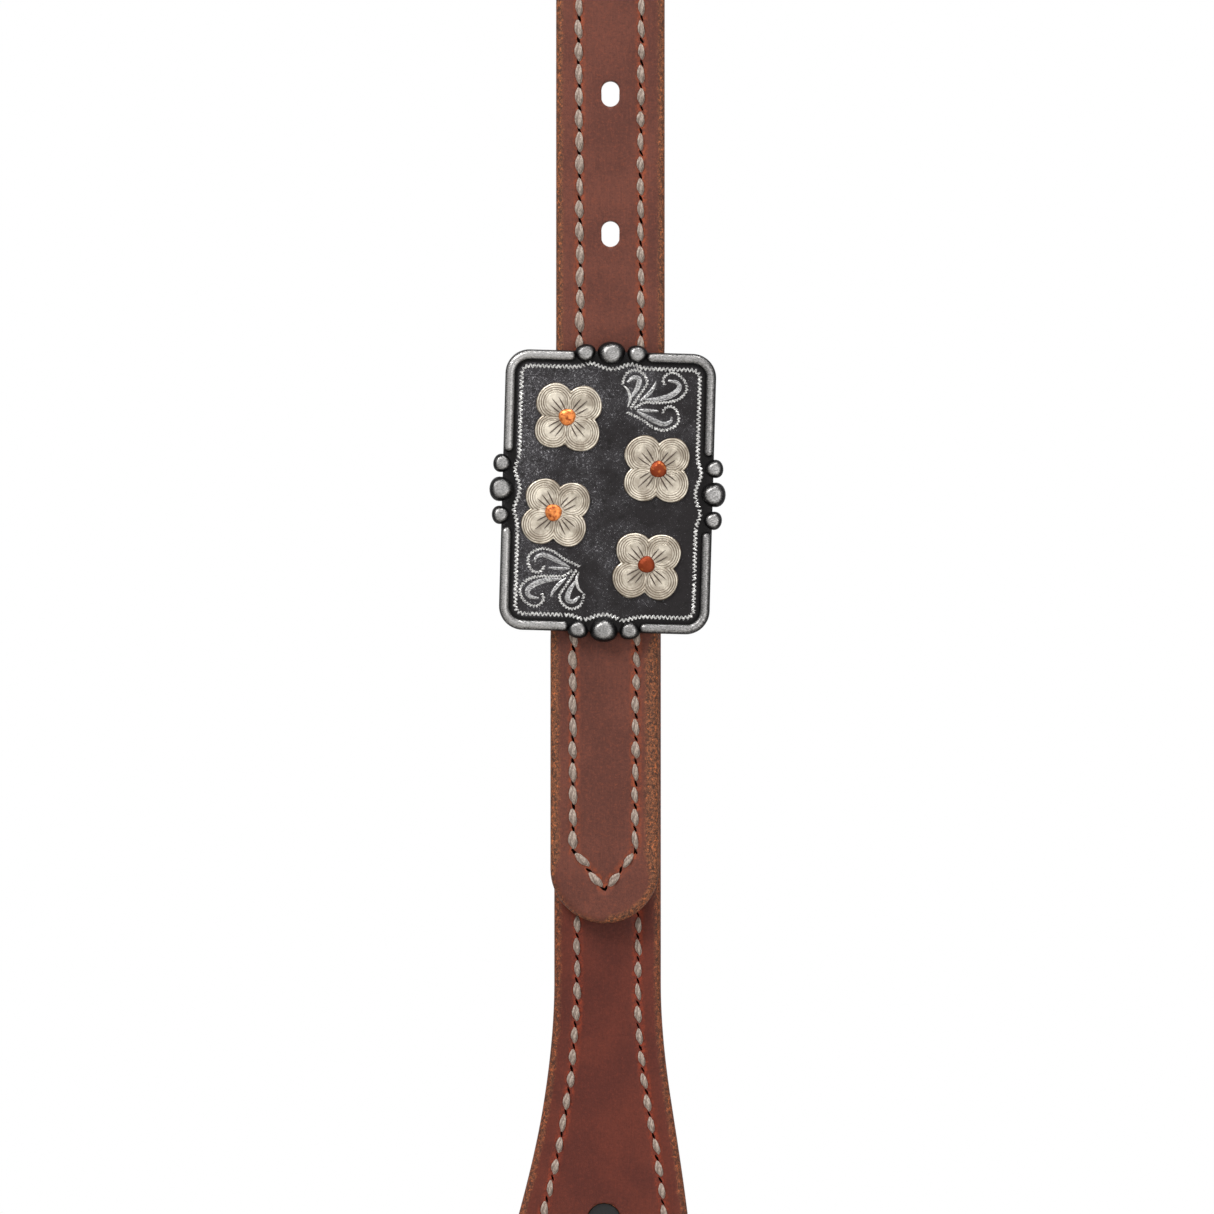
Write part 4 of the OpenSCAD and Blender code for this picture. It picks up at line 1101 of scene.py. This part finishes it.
def dee_tab(side):
    way = (math.cos(DEE_TURN), math.sin(DEE_TURN))
    x, z, _ = line_at(-RIVET_Z)
    front = COLLAR_FRONT + 2 * COLLAR_PLY + TAIL_GAP
    angles = np.radians(np.concatenate([[3.0, 8.0], np.arange(15, 90, 9)]))
    rows = 34
    along = np.concatenate([-DEE_HALF_TAB * np.cos(angles), np.linspace(0, DEE_OUT, rows)])
    halves = np.concatenate([DEE_HALF_TAB * np.sin(angles), np.full(rows, DEE_HALF_TAB)])
    line = straight((x, z), way, along, halves, front)
    end = (x + way[0] * DEE_OUT, z + way[1] * DEE_OUT)
    fold = fold_profile(DEE_FOLD + DEE_PLY, DEE_PLY, 10, DEE_PLY + TAIL_GAP, DEE_OUT + 5)
    add_fold(line, fold, end, way, front, [-way[1], 0, way[0]], DEE_OUT, DEE_HALF_TAB, True)
    strap(f"{side}_dee_loop", side, line, DEE_PLY, LEATHER_COLLAR, f"{side}_collar", [f"{side}_dee_tab"],
          SLOTS[f"{side}_dee_tab"], round_front=0.5, round_back=0.5, tip=(0.0, DEE_HALF_TAB), cut_start=False,
          insets=(1.2, 2.0), count=8)


def spring(name):
    low, high = (np.array(v) * 1000 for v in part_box(f"{name}_snap_spring"))
    middle_x, middle_y = (low[0] + high[0]) / 2, (low[1] + high[1]) / 2
    per_coil = 20
    steps = SPRING_COILS * per_coil
    span = high[2] - low[2] - 2 * SPRING_WIRE
    rings = []
    for k in range(steps + 1):
        a = 2 * math.pi * k / per_coil
        centre = np.array([middle_x + SPRING_R * math.cos(a), middle_y + SPRING_R * math.sin(a),
                           low[2] + SPRING_WIRE + span * k / steps])
        out = np.array([math.cos(a), math.sin(a), 0])
        rings.append(np.array([centre + SPRING_WIRE * (math.cos(b) * out + math.sin(b) * np.array([0, 0, 1]))
                               for b in np.linspace(0, 2 * math.pi, 8, endpoint=False)]))
    points, faces = loops(rings)
    o = piece(f"{name}_coil", points, faces, SPRING, f"{name}_snap", [f"{name}_snap_spring"], "spring_steel")
    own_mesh(o)


for side in ("right", "left"):
    tug(side)
    collar(side)
    plate(side)
    flowers(side)
    dee_tab(side)
girth_upper()
girth_billet()
keeper()
for name in ("right", "left", "girth"):
    spring(name)


# ---------------------------------------------------------------- stage, light and camera
def look_at(o, target):
    o.rotation_euler = Vector(np.array(target) - np.array(o.location)).to_track_quat("-Z", "Y").to_euler()


def area(name, location, target, size, power):
    light = bpy.data.lights.new(name, "AREA")
    light.energy, light.size = power, size
    o = bpy.data.objects.new(name, light)
    bpy.context.scene.collection.objects.link(o)
    o.location = location
    o.visible_camera = False
    look_at(o, target)


def stage():
    scene = bpy.context.scene
    scene.view_settings.view_transform = "Standard"
    seen_width, lens, sensor, floor_half, floor_drop = 0.21245, 300, 36, 1.6, 0.06
    focus = PLACE["right"] / 1000 + np.array([-0.0001, 0, -0.0201])
    focus[1] = FRONT_Y / 1000
    camera = bpy.data.cameras.new("camera")
    camera.lens, camera.sensor_width = lens, sensor
    camera.clip_start, camera.clip_end = 0.05, 20
    o = bpy.data.objects.new("camera", camera)
    scene.collection.objects.link(o)
    o.location = focus + np.array([0, -seen_width * lens / sensor, 0])
    o.rotation_euler = (math.pi / 2, 0, 0)
    scene.camera = o
    points = [(x * floor_half, y * floor_half, CAD_BOX[0][2] - floor_drop)
              for x, y in ((-1, -1), (1, -1), (1, 1), (-1, 1))]
    mesh = bpy.data.meshes.new("floor")
    mesh.from_pydata(points, [], [(0, 1, 2, 3)])
    mesh.materials.append(plain("pale_floor", (226, 224, 220), 0.7, 0, 0.02))
    floor = bpy.data.objects.new("floor", mesh)
    scene.collection.objects.link(floor)
    world = bpy.data.worlds.new("studio")
    scene.world = world
    world.use_nodes = True
    nodes, links = world.node_tree.nodes, world.node_tree.links
    soft = nodes["Background"]
    up = nodes.new("ShaderNodeTexCoord")
    split = nodes.new("ShaderNodeSeparateXYZ")
    ramp = nodes.new("ShaderNodeMapRange")
    ramp.inputs[1].default_value, ramp.inputs[2].default_value = -1, 1
    ramp.inputs[3].default_value, ramp.inputs[4].default_value = 0.25, 0.95
    links.new(up.outputs["Generated"], split.inputs[0])
    links.new(split.outputs["Z"], ramp.inputs[0])
    links.new(ramp.outputs[0], soft.inputs["Strength"])
    white = nodes.new("ShaderNodeBackground")
    white.inputs["Strength"].default_value = 1.0
    for backdrop in (white, soft):
        backdrop.inputs["Color"].default_value = (1, 1, 1, 1)
    path = nodes.new("ShaderNodeLightPath")
    both = nodes.new("ShaderNodeMixShader")
    links.new(path.outputs["Is Camera Ray"], both.inputs[0])
    links.new(soft.outputs[0], both.inputs[1])
    links.new(white.outputs[0], both.inputs[2])
    links.new(both.outputs[0], nodes["World Output"].inputs["Surface"])
    area("key", focus + np.array([-0.62, -0.85, 0.85]), focus, 0.5, 16)
    area("top", focus + np.array([0.3, -0.3, 1.1]), focus, 0.35, 9)
    area("fill", focus + np.array([0.6, -1.2, -0.2]), focus, 0.8, 6)


stage()

CAD_FINISH = {"snap_metal": HARDWARE, "dark_hardware": HARDWARE, "dark_rivets": BLACK, "spring_steel": SPRING,
              "antique_silver": SILVER_RIM, "flower_silver": PETAL, "copper": COPPER, "thread": THREAD,
              "lining_leather": LEATHER_BACK, "collar_leather": LEATHER_COLLAR}
for name, node in frame["nodes"].items():
    node.data.materials.clear()
    node.data.materials.append(CAD_FINISH.get(SLOTS[name], LEATHER_TUG))
